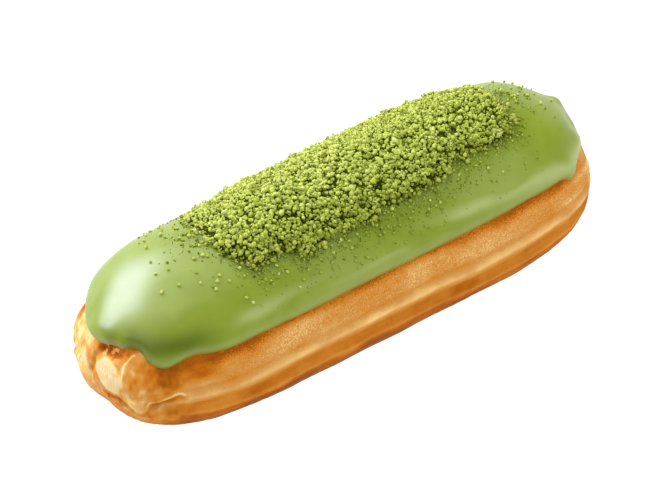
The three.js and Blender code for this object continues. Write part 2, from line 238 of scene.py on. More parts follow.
# %% [markdown]
# A closed surface on a grid is all that a mesh needs. This helper splits each grid cell into two triangles,
# joins the corners that fall on one another, as at a pole or a seam, and drops the triangles that lose
# their area. The signed volume tells whether the faces point out. The arrays go into the mesh in one call
# each.

# %% From a grid to a piece
WELD = 1e-4


def closed_grid(points):
    """Corners, triangles and kept places of a grid that is closed round its columns and at both end rows."""
    rows, columns = points.shape[:2]
    place = np.arange(rows * columns).reshape(rows, columns)
    upper, lower = place[:-1], place[1:]
    next_upper, next_lower = np.roll(upper, -1, axis=1), np.roll(lower, -1, axis=1)
    halves = [(upper, lower, next_lower), (upper, next_lower, next_upper)]
    triangles = np.concatenate([np.stack(half, axis=-1).reshape(-1, 3) for half in halves])
    cells = np.round(points.reshape(-1, 3) / WELD).astype(np.int64)
    kept, joined = np.unique(cells, axis=0, return_index=True, return_inverse=True)[1:]
    triangles = joined.reshape(-1)[triangles]
    solid = (triangles != np.roll(triangles, 1, axis=1)).all(axis=1)
    return points.reshape(-1, 3)[kept], triangles[solid], kept


def make_piece(name, corners, triangles, finish, **attributes):
    """A smooth mesh in metres from corners in mm, faces turned outwards, with values at its corners."""
    first, second, third = (corners[triangles[:, at]] for at in range(3))
    volume = np.einsum("ij,ij->", first, np.cross(second, third)) / 6
    triangles = triangles if volume > 0 else triangles[:, ::-1]
    mesh = bpy.data.meshes.new(name)
    mesh.from_pydata(corners * MM, [], triangles)
    mesh.polygons.foreach_set("use_smooth", np.ones(len(triangles), bool))
    for key, values in attributes.items():
        layer = mesh.attributes.new(key, "FLOAT", "POINT")
        layer.data.foreach_set("value", np.asarray(values, np.float32))
    mesh.materials.append(finish)
    piece = bpy.data.objects.new(name, mesh)
    bpy.context.collection.objects.link(piece)
    print(f"{name}: {len(triangles)} triangles, {abs(volume) / 1000:.1f} cm3")
    return piece


print("corners join within, mm:", WELD)

# %% [markdown]
# The crust of the bun is one grid, dense on the ridged sides and at the tail, coarse where the glaze and
# the sole hide it. The columns move from even spacing at the ends to crowded sides along the middle.

# %% Grid of the crust
STATION_SPANS = [(-90, -62, 150), (-62, 62, 200), (62, 90, 50)]
SIDE_COLUMNS = 119
COVERED_TURN = 60
RIDGED_TURN = 112
COVERED_SHARE = 0.12
RIDGED_SHARE = 0.8
SOLE_SHARE = 0.93
HALVINGS = 40


def spaced(spans):
    """Values that run evenly through each span of (from, to, steps)."""
    parts = [np.linspace(start, end, steps, endpoint=False) for start, end, steps in spans]
    return np.append(np.concatenate(parts), spans[-1][1])


def sole_turn(station):
    """Turn at which the side meets the table, found by halving; half a turn where the end lifts clear."""
    above = np.full(station.shape, math.radians(RIDGED_TURN))
    below = np.full(station.shape, np.pi)
    for _ in range(HALVINGS):
        middle = (above + below) / 2
        clear = smooth_point(station, middle)[..., 2] > 0
        above, below = np.where(clear, middle, above), np.where(clear, below, middle)
    return np.where(smooth_point(station, np.full(station.shape, np.pi))[..., 2] >= 0, np.pi, above)


stations = np.radians(spaced(STATION_SPANS))
edges = sole_turn(stations)[:, None]
share = np.linspace(0, 1, SIDE_COLUMNS + 1)[None, :]
to_sole = edges * share / SOLE_SHARE
over_sole = edges + (np.pi - edges) * (share - SOLE_SHARE) / (1 - SOLE_SHARE)
even = np.where(share < SOLE_SHARE, to_sole, over_sole)
knots = [0, COVERED_SHARE, RIDGED_SHARE, SOLE_SHARE, 1]
turns_at = [np.zeros_like(edges), np.full_like(edges, math.radians(COVERED_TURN))]
turns_at += [np.full_like(edges, math.radians(RIDGED_TURN)), edges, np.full_like(edges, np.pi)]
crowded = np.zeros_like(even)
for low, high, start, end in zip(knots[:-1], knots[1:], turns_at[:-1], turns_at[1:]):
    inside = np.clip((share - low) / (high - low), 0, 1)
    crowded += (end - start) * inside
middle_part = smoothstep(taper(stations, np.pi / 2), 0.6, 0.9)[:, None]
half_turns = even + (crowded - even) * middle_part
crust_turn = np.concatenate([half_turns, -half_turns[:, -2:0:-1]], axis=1)
crust_station = np.repeat(stations[:, None], crust_turn.shape[1], axis=1)
print("crust grid:", crust_turn.shape)

# %% [markdown]
# Over the piped form lies the fine relief of baking: streaks along the bun, an uneven skin, and at the tail
# the seams, the lip where the front lobe laps over the nub, faint ribs on the nub, a torn hole above it and
# a torn flap with a pocket under it. Each line on the end's map comes with a signed distance, so it can be
# a groove or a step.

# %% Relief of the crust
HOLE = [(1.7, 20.8), (3.7, 22), (6, 22.2)]
LEFT_CREVICE = [(1.5, 20.3), (-0.4, 17.9), (-0.3, 16.1), (-2.4, 12.4), (-3.9, 9.1)]
LOW_CRACK = [(2.4, 9.9), (5.3, 10.7), (8, 11.8), (9, 11.3), (10.4, 9.8)]
SEAMS = [(1.2, 1.3, HOLE), (0.6, 0.8, LEFT_CREVICE), (0.35, 0.5, LOW_CRACK)]
CURL_LIP = [(9.9, 21.7), (9.3, 21.4), (8.8, 20.8), (8.7, 19.9), (8.8, 17.9), (9.1, 16.1), (10.4, 14.1)]
FLAP = [(13.7, 11), (14.6, 11.7), (16.3, 12.7), (18, 13.3), (19.4, 13.8), (20.4, 14), (21.6, 13.6)]
NUB = (4.9, 16.4, 4.2, 4.2)
NUB_RISE = 0.25
RIB_HEIGHT = 0.03
RIB_SPACING = 0.9
TORN_HEIGHT = 0.5
LIP_HEIGHT = 0.2
LIP_GROOVE = 0.12
FLAP_HEIGHT = 0.25
FLAP_POCKET = 0.8
STREAK_HEIGHT = 0.08
SKIN_HEIGHT = 0.06
FINE_SKIN_HEIGHT = 0.04
WRINKLE_HEIGHT = 0.05


def route_offset(arc, level, route):
    """Distance to the nearest straight piece of a bent line on the map, positive on the left of its way."""
    nearest = np.full(arc.shape, np.inf)
    signed = np.zeros(arc.shape)
    for (start_arc, start_level), (end_arc, end_level) in zip(route[:-1], route[1:]):
        run_arc, run_level = end_arc - start_arc, end_level - start_level
        along = (arc - start_arc) * run_arc + (level - start_level) * run_level
        share = np.clip(along / (run_arc**2 + run_level**2), 0, 1)
        away_arc = arc - start_arc - share * run_arc
        away_level = level - start_level - share * run_level
        distance = np.hypot(away_arc, away_level)
        left = np.where(run_arc * away_level - run_level * away_arc >= 0, 1, -1)
        signed = np.where(distance < nearest, left * distance, signed)
        nearest = np.minimum(nearest, distance)
    return signed


def nub_share(point):
    """1 on the pale nub of the tail, a round spot on the end's map, falling softly to 0 round it."""
    arc, level = end_map(point)
    wobble = 0.1 * noise(point, 2.1, 24)
    reach = np.hypot((arc - NUB[0]) / NUB[2], (level - NUB[1]) / NUB[3]) + wobble
    return smoothstep(-reach, -1.08, -0.8) * tail_share(point)


def lip_offset(point):
    """Distance to the curl's lip, positive on the front lobe, and how much the lip shows there."""
    arc, level = end_map(point)
    return route_offset(arc, level, CURL_LIP), smoothstep(level, 15.5, 19.5) * tail_share(point)


def flap_offset(point):
    """Distance to the torn flap's edge, positive above it, and how much the flap shows there."""
    arc, level = end_map(point)
    shows = smoothstep(arc, 13, 14.5) * smoothstep(-arc, -22.5, -20.5)
    return route_offset(arc, level, FLAP), shows


def tail_relief(point):
    """Seams as bells round their lines, a torn floor in the hole, the lip, the ribbed nub and the flap."""
    arc, level = end_map(point)
    seams = sum(depth * bell(route_offset(arc, level, route), wide) for depth, wide, route in SEAMS)
    torn = TORN_HEIGHT * noise(point, 0.8, 25) * bell(route_offset(arc, level, HOLE), 1.7)
    curl, curl_shows = lip_offset(point)
    lip = LIP_HEIGHT * smoothstep(curl, -0.3, 0.3) * np.exp(-np.maximum(curl, 0) / 4)
    lip -= LIP_GROOVE * bell(curl + 0.5, 0.5)
    rib = (arc + 0.1 * level + 0.5 * noise(point, 1.5, 26)) / RIB_SPACING
    nub = nub_share(point) * (NUB_RISE + RIB_HEIGHT * np.sin(2 * np.pi * rib))
    edge, edge_shows = flap_offset(point)
    flap = FLAP_HEIGHT * smoothstep(edge, -0.2, 0.25) * np.exp(-np.maximum(edge, 0) / 2.5)
    flap -= FLAP_POCKET * bell(edge + 0.85, 0.75)
    return (torn - seams) * tail_share(point) + lip * curl_shows + nub + flap * edge_shows


def wrinkled(point):
    """Fine wrinkles of the tail's skin: a noise drawn out along z."""
    return noise(point * np.array([1, 1, 0.45]), 0.6, 27)


def crust_relief(point, station, turn):
    """Streaks along the sides and an uneven skin, rougher and finely wrinkled at the tail."""
    x = point[..., 0]
    narrow = taper(station, np.pi / 2)
    angle = side_angle(point, turn)
    streak_map = np.stack([x / 9, angle / 1.3, 4 * np.sign(turn)], axis=-1)
    streaks = STREAK_HEIGHT * noise(streak_map, 1, 21) * smoothstep(narrow, 0.3, 0.8)
    tail = tail_share(point)
    skin = SKIN_HEIGHT * noise(point, 2.4, 22) + FINE_SKIN_HEIGHT * noise(point, 1.1, 23) * (1 + tail)
    return streaks + skin + WRINKLE_HEIGHT * wrinkled(point) * tail


def outward(point):
    """Unit vectors away from the bun's core, a straight line along x at the level of the tips."""
    middle = np.clip(point[..., 0], -CORE_HALF, CORE_HALF)
    core = np.stack([middle, 0 * middle, 0 * middle + TIP_LEVEL], axis=-1)
    away = point - core
    return away / np.linalg.norm(away, axis=-1, keepdims=True)


smooth = smooth_point(crust_station, crust_turn)
relief = piped_relief(smooth, crust_station, crust_turn)
relief += crust_relief(smooth, crust_station, crust_turn)
relief += tail_relief(smooth)
crust = smooth + outward(smooth) * relief[..., None]
crust[..., 2] = np.maximum(crust[..., 2], 0)
print("relief, mm:", relief.min().round(2), "to", relief.max().round(2))

# %% [markdown]
# Choux browns most where it bulges into the hot air or touches the tray, and stays pale where a crest split
# open late. So the crust carries two values: how far it is baked, from cream to caramel, and how pitted it
# is. Along the sides the baking follows the ridges. At the tail it is blended from a few spots on the end's
# map, each with its own spread, and the cracks, the lip and the flap are added on top. Light is painted into
# the first value too. The crust is darker just under the glaze's rim and drip, in the cracks, in the torn
# hole and in the pocket under the flap, partly as painted shade. It is paler along the curl's lip, the
# flap's edge and the low lip on the side, as painted highlights.

# %% Baking of the crust
# Under the rim, from 21 to 23.5 degrees, the crust is darker partly as painted shade of the glaze, and the
# dip at -14 is a painted highlight along the low lip.
BAKED_BY_ANGLE = [(-25, 0.98), (-20, 0.9), (-16, 0.78), (-14, 0.66), (-12, 0.74), (-8, 0.68)]
BAKED_BY_ANGLE += [(-4, 0.5), (0, 0.28), (3, 0.4), (5.5, 0.54), (9, 0.46), (13.5, 0.41)]
BAKED_BY_ANGLE += [(18, 0.46), (21, 0.66), (23.5, 0.86)]
# The darkest spots, in the torn hole, under the big drip and under the rim beside it, are partly painted
# shade.
BAKED_SPOTS = [(-7, 14, 4, 6, 0.2), (-10, 18, 4, 4, 0.3), (-1.2, 16, 1.2, 4, 0.52)]
BAKED_SPOTS += [(4, 21.8, 2.6, 1.5, 0.95), (5, 19.8, 2.6, 0.9, 0.36), (12.5, 17, 3, 3, 0.55)]
BAKED_SPOTS += [(18.5, 18.5, 3.5, 2.4, 1.0), (15, 14.4, 3, 1.2, 0.5), (10.6, 14, 1.6, 2.2, 0.34)]
BAKED_SPOTS += [(12, 11, 2.5, 1.2, 0.24), (13, 7.5, 4, 1.4, 0.6), (4, 9.5, 3.5, 2.5, 0.5)]
BAKED_SPOTS += [(8, 4, 9, 2.2, 0.72), (24, 17.5, 3, 2, 0.8), (25, 14, 3, 1.2, 0.36), (-5, 8, 3, 2.5, 0.4)]
# Cracks are darker partly as painted shade in the creases.
CRACKED = [(0.08, LEFT_CREVICE), (0.4, LOW_CRACK)]
NUB_BAKED = 0.06
# Darker crust under the drip: partly painted shade of the glaze.
UNDER_DRIP = (26, 18.2, 9, 2.2, 0.3)
FAR_PALER = 0.3


def spot_baking(arc, level):
    """Baked share, partly painted shade, from the spots: the mean of their values, weighted by bells of
    their spreads.
    """
    weights, total = 1e-9, 0
    for at, up, wide, high, share in BAKED_SPOTS:
        weight = bell(arc - at, wide) * bell(level - up, high)
        weights, total = weights + weight, total + weight * share
    return total / weights


def crust_browning_and_painted_light(point, turn):
    """Baked share from the angle on the side, the spots at the tail, and the cracks, lip, flap and nub, with
    painted shade and painted highlights.
    """
    arc, level = end_map(point)
    angle = side_angle(point, turn)
    side = np.interp(angle, *zip(*BAKED_BY_ANGLE))
    at, up, wide, high, gain = UNDER_DRIP
    side += gain * bell(arc - at, wide) * bell(level - up, high) * (point[..., 0] < 0)
    side -= FAR_PALER * smoothstep(point[..., 0], 44, 60) * smoothstep(angle, 14, 20)
    at_tail = tail_share(point) * smoothstep(-np.abs(arc - 5), -21, -17)
    baked = side + (spot_baking(arc, level) - side) * at_tail
    flakes = smoothstep(noise(point, 0.9, 33), 0.15, 0.4) * bell(route_offset(arc, level, HOLE), 1.5)
    baked += 0.15 * noise(point * np.array([0.35, 1, 1]), 2.2, 31)
    baked += at_tail * (0.18 * noise(point, 1.3, 32) + 0.12 * wrinkled(point))
    cracks = sum(gain * bell(route_offset(arc, level, route), 0.7) for gain, route in CRACKED)
    curl, curl_shows = lip_offset(point)
    edge, edge_shows = flap_offset(point)
    # The cracks are darker, partly as painted shade, and the lip's edge is paler as a painted highlight.
    baked += (cracks - 0.6 * flakes) * tail_share(point) - 0.45 * bell(curl - 0.05, 0.2) * curl_shows
    # The pocket under the flap is darker as painted shadow of the flap, and the flap's edge is paler as a
    # painted highlight.
    baked += (0.35 * bell(edge + 0.85, 0.7) - 0.4 * bell(edge - 0.15, 0.3)) * edge_shows
    nub = nub_share(point)
    return np.clip(baked * (1 - nub) + NUB_BAKED * nub, 0, 1)


baked = crust_browning_and_painted_light(smooth, crust_turn)
pitted = smoothstep(side_angle(smooth, crust_turn), 2, 9) * smoothstep(smooth[..., 0], -56, -34)
print("baked, mean:", baked.mean().round(2))

# %% [markdown]
# A finish is a small graph of nodes. These helpers keep the graphs short: one makes a node and sets or links
# its inputs, one turns the colours that a maker would name, from 0 to 255, into the linear values that light
# works with, and one makes a colour ramp.

# %% Helpers for finishes
def linear(*bytes_of_colour):
    """Linear colour of an sRGB one: c/12.92 when dark, ((c + 0.055) / 1.055)^2.4 above, with full alpha."""
    shares = [byte / 255 for byte in bytes_of_colour]
    return [c / 12.92 if c <= 0.04045 else ((c + 0.055) / 1.055) ** 2.4 for c in shares] + [1]


def add_node(tree, kind, inputs, **settings):
    """A node of a kind, with settings on it and inputs that are values or other nodes' outputs."""
    made = tree.nodes.new(kind)
    for key, value in settings.items():
        setattr(made, key, value)
    for key, value in inputs.items():
        if isinstance(value, bpy.types.NodeSocket):
            tree.links.new(value, made.inputs[key])
        else:
            made.inputs[key].default_value = value
    return made


def ramp(tree, share, stops):
    """A colour ramp over a share: stops of (position, colour), blended evenly between them."""
    made = tree.nodes.new("ShaderNodeValToRGB")
    tree.links.new(share, made.inputs["Fac"])
    points = made.color_ramp.elements
    while len(points) < len(stops):
        points.new(1)
    for point, (position, colour) in zip(points, stops):
        point.position = position
        point.color = colour
    return made.outputs["Color"]


def math_node(tree, operation, first, second):
    """A Math node of two inputs."""
    return add_node(tree, "ShaderNodeMath", {0: first, 1: second}, operation=operation).outputs[0]


def surface_noise(tree, scale, detail):
    """A noise over the piece's own coordinates; scale is in cells for each metre."""
    place = add_node(tree, "ShaderNodeTexCoord", {}).outputs["Object"]
    inputs = {"Vector": place, "Scale": scale, "Detail": detail}
    return add_node(tree, "ShaderNodeTexNoise", inputs).outputs[0]


def new_finish(name):
    """A node material: the material, its tree and its shader."""
    finish = bpy.data.materials.new(name)
    finish.use_nodes = True
    return finish, finish.node_tree, finish.node_tree.nodes["Principled BSDF"]


def attribute(tree, name):
    """The value that a piece holds at its corners under a name."""
    return add_node(tree, "ShaderNodeAttribute", {}, attribute_name=name).outputs["Fac"]


print("linear value of a middle grey:", round(linear(128)[0], 3))

# %% [markdown]
# Baked choux: the colour runs from cream over gold to caramel, with fine freckles where the skin is pitted.
# Real pits are far smaller than the grid's cells, so they are a bump. A little light passes under the skin,
# which keeps the furrows warm.

# %% Choux finish
CRUST_COLOURS = [
    (0.0, linear(233, 214, 170)),
    (0.2, linear(248, 206, 124)),
    (0.42, linear(217, 158, 86)),
    (0.6, linear(216, 140, 46)),
    (0.82, linear(188, 103, 14)),
    (1.0, linear(148, 76, 8)),
]
FRECKLES_PER_METRE = 3400
PATCHES_PER_METRE = 420
PATCH_STRENGTH = 0.2
SPECK_STRENGTH = 0.9
SPECKS_ANYWHERE = 0.15

choux, tree, shader = new_finish("baked_choux")
freckles = surface_noise(tree, FRECKLES_PER_METRE, 2)
pits = attribute(tree, "pitted")
speck = math_node(tree, "MULTIPLY", math_node(tree, "SUBTRACT", 0.5, freckles), SPECK_STRENGTH)
uneven = math_node(tree, "SUBTRACT", surface_noise(tree, PATCHES_PER_METRE, 3), 0.5)
patches = math_node(tree, "MULTIPLY", uneven, PATCH_STRENGTH)
in_pits = math_node(tree, "MULTIPLY", pits, 1 - SPECKS_ANYWHERE)
speck_share = math_node(tree, "ADD", in_pits, SPECKS_ANYWHERE)
browned = math_node(tree, "ADD", attribute(tree, "baked"), math_node(tree, "MULTIPLY", speck, speck_share))
browned = math_node(tree, "ADD", browned, patches)
tree.links.new(ramp(tree, browned, CRUST_COLOURS), shader.inputs["Base Color"])
rough = add_node(tree, "ShaderNodeBump", {"Strength": 0.5, "Distance": 0.0003, "Height": freckles})
tree.links.new(rough.outputs["Normal"], shader.inputs["Normal"])
shader.inputs["Roughness"].default_value = 0.65
shader.inputs["Specular IOR Level"].default_value = 0.05
shader.inputs["Subsurface Weight"].default_value = 0.08
shader.inputs["Subsurface Radius"].default_value = (1.0, 0.5, 0.15)
shader.inputs["Subsurface Scale"].default_value = 0.001

corners, triangles, kept = closed_grid(crust)
crust_piece = make_piece(
    "choux_crust", corners, triangles, choux, baked=baked.reshape(-1)[kept], pitted=pitted.reshape(-1)[kept]
)

# %% [markdown]
# The bun was dipped, so the glaze is a cap with a nearly level rim: a bead where it stopped running, a few
# drips and a lump where it was lifted off. It is laid out as rays from the crown line to the rim, a fan of
# them round each end. Where the rim lies along a ray is found by halving, first for the even level, then
# for the level with drips.

# %% Form of the glaze
GAP = 0.35
RIM_LEVEL = 21.1
ICING_THICKNESS = 1.8
BEAD_WIDTH = 3.6
BEAD_HEIGHT = 1.1
RIM_TO_CROWN = 27
ICING_SPINE = 44
DRIPS = [(54, -13.5, 0.7, 9), (52, -15.2, 1.3, 2.2), (-26, 19, 1.2, 8), (18, 19, 0.9, 10), (55, 14, 1.6, 5)]
NEAR_RIM = [(-20, 0), (-12, -0.5), (-5, -0.45), (0, -0.4), (3.4, -1.45), (5.7, -2.25), (8.2, -1.7)]
NEAR_RIM += [(11.2, -0.95), (13.5, 0.4), (16.2, 1.3), (18.1, 1.55), (20.3, 0.9), (22.9, 0.05)]
NEAR_RIM += [(25.1, -0.2), (29, 0.1), (33, 0.38), (40, 0)]
LUMP_FADE = 4
LUMPS = [(60.4, 0.2, 1.1, 1.7), (60, -6, -0.6, 2.5), (60, -10.5, 0.5, 3), (56, 5, -0.5, 6)]
LUMPS += [(-54, -8, 0.4, 8), (-60.5, -2.2, 0.7, 2.2), (-60, 0.8, -0.35, 4.3), (-60.7, 1.3, 0.75, 2.9)]
LUMPS += [(-47, 12, 1.3, 10), (51, 7.5, 0.8, 7)]


def loop_rays(straight, fan):
    """Start x and heading of each ray round the cap, and if it fans out: front, far end, back, near end."""
    along = np.linspace(-ICING_SPINE, ICING_SPINE, straight, endpoint=False)
    heading = np.linspace(0, np.pi, fan, endpoint=False)
    starts = [along, np.full(fan, ICING_SPINE), -along, np.full(fan, -ICING_SPINE)]
    sideways = np.full(straight, np.pi / 2)
    headings = [-sideways, heading - np.pi / 2, sideways, heading + np.pi / 2]
    fans = [np.zeros(straight), np.ones(fan), np.zeros(straight), np.ones(fan)]
    return np.concatenate(starts), np.concatenate(headings), np.concatenate(fans)


def ray_spot(rays, reach):
    """Station and turn at a share of the way from the crown line to the side's widest level or the tip."""
    start_x, heading, fans = rays
    start = np.arcsin(start_x / HALF_LENGTH)
    station = start + fans * np.cos(heading) * (np.pi / 2 - np.abs(start)) * reach
    return station, -np.sin(heading) * np.pi / 2 * reach


def ray_to_level(rays, level):
    """Share of the way along each ray at which the smooth bun sinks to a level, found by halving."""
    low, high = np.zeros(len(rays[0])), np.ones(len(rays[0]))
    for _ in range(HALVINGS):
        middle = (low + high) / 2
        above = smooth_point(*ray_spot(rays, middle))[..., 2] > level
        low, high = np.where(above, middle, low), np.where(above, high, middle)
    return low


def curve_through(knots, at):
    """Smooth curve through knots: cubics with a knot's slope taken between its neighbours, level outside."""
    place, height = np.array(knots, float).T
    slope = np.gradient(height, place)
    at = np.clip(at, place[0], place[-1])
    after = np.clip(np.searchsorted(place, at), 1, len(place) - 1)
    before = after - 1
    run = place[after] - place[before]
    share = (at - place[before]) / run
    blend = share * share * (3 - 2 * share)
    bends = run * share * (1 - share) * (slope[before] * (1 - share) - slope[after] * share)
    return height[before] + (height[after] - height[before]) * blend + bends


def rim_reach(rays):
    """Share of the way along each ray to the rim: the even level lowered by knots and the drips' bells."""
    even_rim = smooth_point(*ray_spot(rays, ray_to_level(rays, RIM_LEVEL)))
    drop = 0.1 * noise(even_rim, 3.5, 41)
    drop = drop + np.where(even_rim[..., 0] < 0, curve_through(NEAR_RIM, end_map(even_rim)[0]), 0)
    for x, y, depth, spread in DRIPS:
        drop = drop + depth * bell(np.hypot(even_rim[..., 0] - x, even_rim[..., 1] - y), spread)
    return ray_to_level(rays, RIM_LEVEL - drop)


def lifted(station, turn, height):
    """Point over the bun by a height along the smooth normal, bridging the furrows."""
    step = 0.004
    along = smooth_point(station + step, turn) - smooth_point(station - step, turn)
    around = smooth_point(station, turn + step) - smooth_point(station, turn - step)
    normal = np.cross(around, along)
    normal /= np.linalg.norm(normal, axis=-1, keepdims=True)
    base = smooth_point(station, turn)
    raised = np.maximum(piped_relief(base, station, turn), 0)
    return base + outward(base) * raised[..., None] + normal * height[..., None]


def icing_height(point, from_rim):
    """A soft bead at the rim (half a parabola), a growth to the full thickness, and the lumps."""
    bead = BEAD_HEIGHT * (1 - np.maximum(1 - from_rim / BEAD_WIDTH, 0) ** 2)
    growth = (ICING_THICKNESS - BEAD_HEIGHT) * smoothstep(from_rim, 2, 14)
    away = [np.hypot(point[..., 0] - x, point[..., 1] - y) for x, y, _, _ in LUMPS]
    lumps = sum(rise * bell(distance, spread) for distance, (_, _, rise, spread) in zip(away, LUMPS))
    return bead + growth + lumps * smoothstep(from_rim, 0, LUMP_FADE)


STRAIGHT_RAYS = 150
FAN_RAYS = 110
rays = loop_rays(STRAIGHT_RAYS, FAN_RAYS)
rims = rim_reach(rays)
rim_points = smooth_point(*ray_spot(rays, rims))
print("rim level, mm:", rim_points[:, 2].min().round(1), "to", rim_points[:, 2].max().round(1))

# %% [markdown]
# Rows of the glaze run from the crown line down to the bead, round the bead and back underneath. The bead
# is stepped by its own angle, so that it stays round, and its lower edge sinks a little into the crust. At
# the near end the glaze flowed together over the tail. Surface tension is imitated there: every point moves
# towards the mean of its neighbours, then almost as far back, which rounds off small bumps and keeps the
# large form.

# %% Glaze piece
CAP_ROWS = 90
BEAD_ROWS = 16
UNDER_ROWS = 8
SINK = 0.2
STREAKS = 0.13
STREAK_SIZE = np.array([14, 6, 2.2])
RELAX_ROUNDS = 250
RELAX_IN = 0.6
RELAX_OUT = 0.57
RELAX_ALONG = (50, 56)
RELAX_FROM_RIM = (0.8, 3)

bead_angle = np.linspace(np.pi / 2, 0, BEAD_ROWS)
cap_rows = RIM_TO_CROWN - (RIM_TO_CROWN - BEAD_WIDTH) * np.linspace(0, 1, CAP_ROWS, endpoint=False)
bead_rows = BEAD_WIDTH * (1 - np.cos(bead_angle))
from_rim = np.concatenate([cap_rows, bead_rows])[:, None]


def glaze_sheet(from_rim, height_of):
    """Grid of points for rows at a distance from the rim and all the rays, lifted by a height."""
    reach = (1 - from_rim / RIM_TO_CROWN) * rims
    station, turn = ray_spot(rays, reach)
    base = smooth_point(station, turn)
    return lifted(station, turn, height_of(base, from_rim))


def outer_height(base, from_rim):
    """Icing height with soft waves and streaks along it, sunk into the crust at the rim."""
    streaks = STREAKS * noise(base / STREAK_SIZE, 1, 43) * smoothstep(base[..., 0], -46, -30)
    waves = (0.07 * noise(base, 9, 42) + streaks) * smoothstep(from_rim, 1, 5)
    rise = GAP * smoothstep(from_rim, 0, 2) - SINK * (1 - smoothstep(from_rim, 0, 1))
    return icing_height(base, from_rim) + rise + waves


def inner_height(base, from_rim):
    """Underside: sunk into the crust at the rim and all the way."""
    return 0 * base[..., 0] - SINK


def relaxed(grid, share):
    """Grid rounded where share is 1: p += in * (mean of four neighbours - p), then p -= out * (mean - p)."""
    grid = grid.copy()
    for step in [RELAX_IN, -RELAX_OUT] * RELAX_ROUNDS:
        padded = np.concatenate([grid[:1], grid, grid[-1:]])
        mean = (padded[:-2] + padded[2:] + np.roll(grid, 1, axis=1) + np.roll(grid, -1, axis=1)) / 4
        grid += step * share[..., None] * (mean - grid)
    return grid


under_rows = np.linspace(0, RIM_TO_CROWN, UNDER_ROWS + 1)[:, None]
cap = glaze_sheet(from_rim, outer_height)
near_end = smoothstep(-cap[..., 0], *RELAX_ALONG) * smoothstep(from_rim, *RELAX_FROM_RIM)
cap = relaxed(cap, near_end)
glaze_grid = np.concatenate([cap, glaze_sheet(under_rows, inner_height)])
print("glaze grid:", glaze_grid.shape)

# %% [markdown]
# The crumbs lie in a thin heap along the crown. Its outline is given in a flat map of the glaze: x along
# the bun and an arc round it, positive to the back. The same map tells how far any spot lies outside the
# heap, which thins the loose crumbs and the dust out round it.

# %% Outline of the heap
HEAP_MIDDLE = 4.6
HEAP_HALF_LENGTH = 40.7
HEAP_FRONT_REACH = 14.2
HEAP_BACK_REACH = 17
FRONT_LOBES = [(-31, 3, 4), (-17, 2, 5), (13, 1.2, 4), (25, -2.2, 6)]
BACK_LOBES = [(-28, -3.5, 7), (47, -6, 6)]
HEAP_POWER = 5
HEAP_ROOT = 2.6
HEAP_RADIUS = 24
HEAP_THICKNESS = 1.5
HEAP_BACK_THICKNESS = 0.9
RAGGED = [(1.3, 7, 51), (1.1, 2.6, 52)]
DUST_FADE = 2.8


def heap_reach(along, front):
    """Reach of the heap from the crown line: (reach + its lobes' bells) * (1 - |along|^p)^(1/root)."""
    x = HEAP_MIDDLE + HEAP_HALF_LENGTH * along
    to_front = HEAP_FRONT_REACH + sum(reach * bell(x - at, spread) for at, reach, spread in FRONT_LOBES)
    to_back = HEAP_BACK_REACH + sum(reach * bell(x - at, spread) for at, reach, spread in BACK_LOBES)
    fall = (1 - np.minimum(np.abs(along), 1) ** HEAP_POWER) ** (1 / HEAP_ROOT)
    return np.where(front, to_front, to_back) * fall


def ragged(x, arc):
    """Uneven outline: slow and quick noise along the edge."""
    flat = np.stack([x, 0.4 * arc, 0 * x], axis=-1)
    return sum(depth * noise(flat, cell, seed) for depth, cell, seed in RAGGED)


def heap_inside(x, arc):
    """Distance inside the ragged outline in mm, negative outside it."""
    along = (x - HEAP_MIDDLE) / HEAP_HALF_LENGTH
    sideways = heap_reach(along, arc < 0) - np.abs(arc)
    endways = HEAP_HALF_LENGTH - np.abs(x - HEAP_MIDDLE)
    outside = np.hypot(np.minimum(sideways, 0), np.minimum(endways, 0))
    return np.where(outside > 0, -outside, np.minimum(sideways, endways)) + ragged(x, arc)


def glaze_map(point):
    """Flat map of points on the glaze: x, and the arc round the bun from the crown line."""
    return point[..., 0], HEAP_RADIUS * np.arctan2(point[..., 1], point[..., 2] - TIP_LEVEL)


dusted = np.exp(np.minimum(heap_inside(*glaze_map(glaze_grid)), 0) / DUST_FADE)
print("dusted share of the glaze:", dusted.mean().round(2))

# %% [markdown]
# Over the big drip and in the valley above the notch the glaze is painted darker and deeper in colour, as
# painted shade. Bells round two lines on the end's map say how deep. The thin rim, where the crust shines
# through, takes a warmer colour. Along the front a pale painted sheen lies in hazy patches and in streaks a
# little above the rim: a painted reflection of the light in front.

# %% Painted shade, thin rim and painted sheen of the glaze
DEEP_BAND = [(9, 24.8), (14, 24.3), (18, 24.5), (25, 24.7), (32, 25.1)]
DEEP_SPREAD = 2
VALLEY = [(1.2, 26), (2.4, 25.4), (3.6, 24.8), (4.9, 23.7)]
VALLEY_SPREAD = 1.2
VALLEY_SHARE = 0.45
THIN_OVER = 0.55
PAINTED_SHEEN_ABOVE_RIM = [(25, 5.5), (50, 2.6)]
PAINTED_SHEEN_SPREAD = 2
SHEEN_HAZE = 0.32

arc, level = end_map(glaze_grid)
rim_rows = np.concatenate([from_rim, under_rows]) + 0 * arc
# deep: painted shade over the big drip and in the valley above the notch.
deep = bell(route_offset(arc, level, DEEP_BAND), DEEP_SPREAD) * smoothstep(-arc, -36, -22)
valley = VALLEY_SHARE * bell(route_offset(arc, level, VALLEY), VALLEY_SPREAD)
deep = np.maximum(deep, valley) * (glaze_grid[..., 0] < 0)
thin = np.exp(-rim_rows / THIN_OVER)
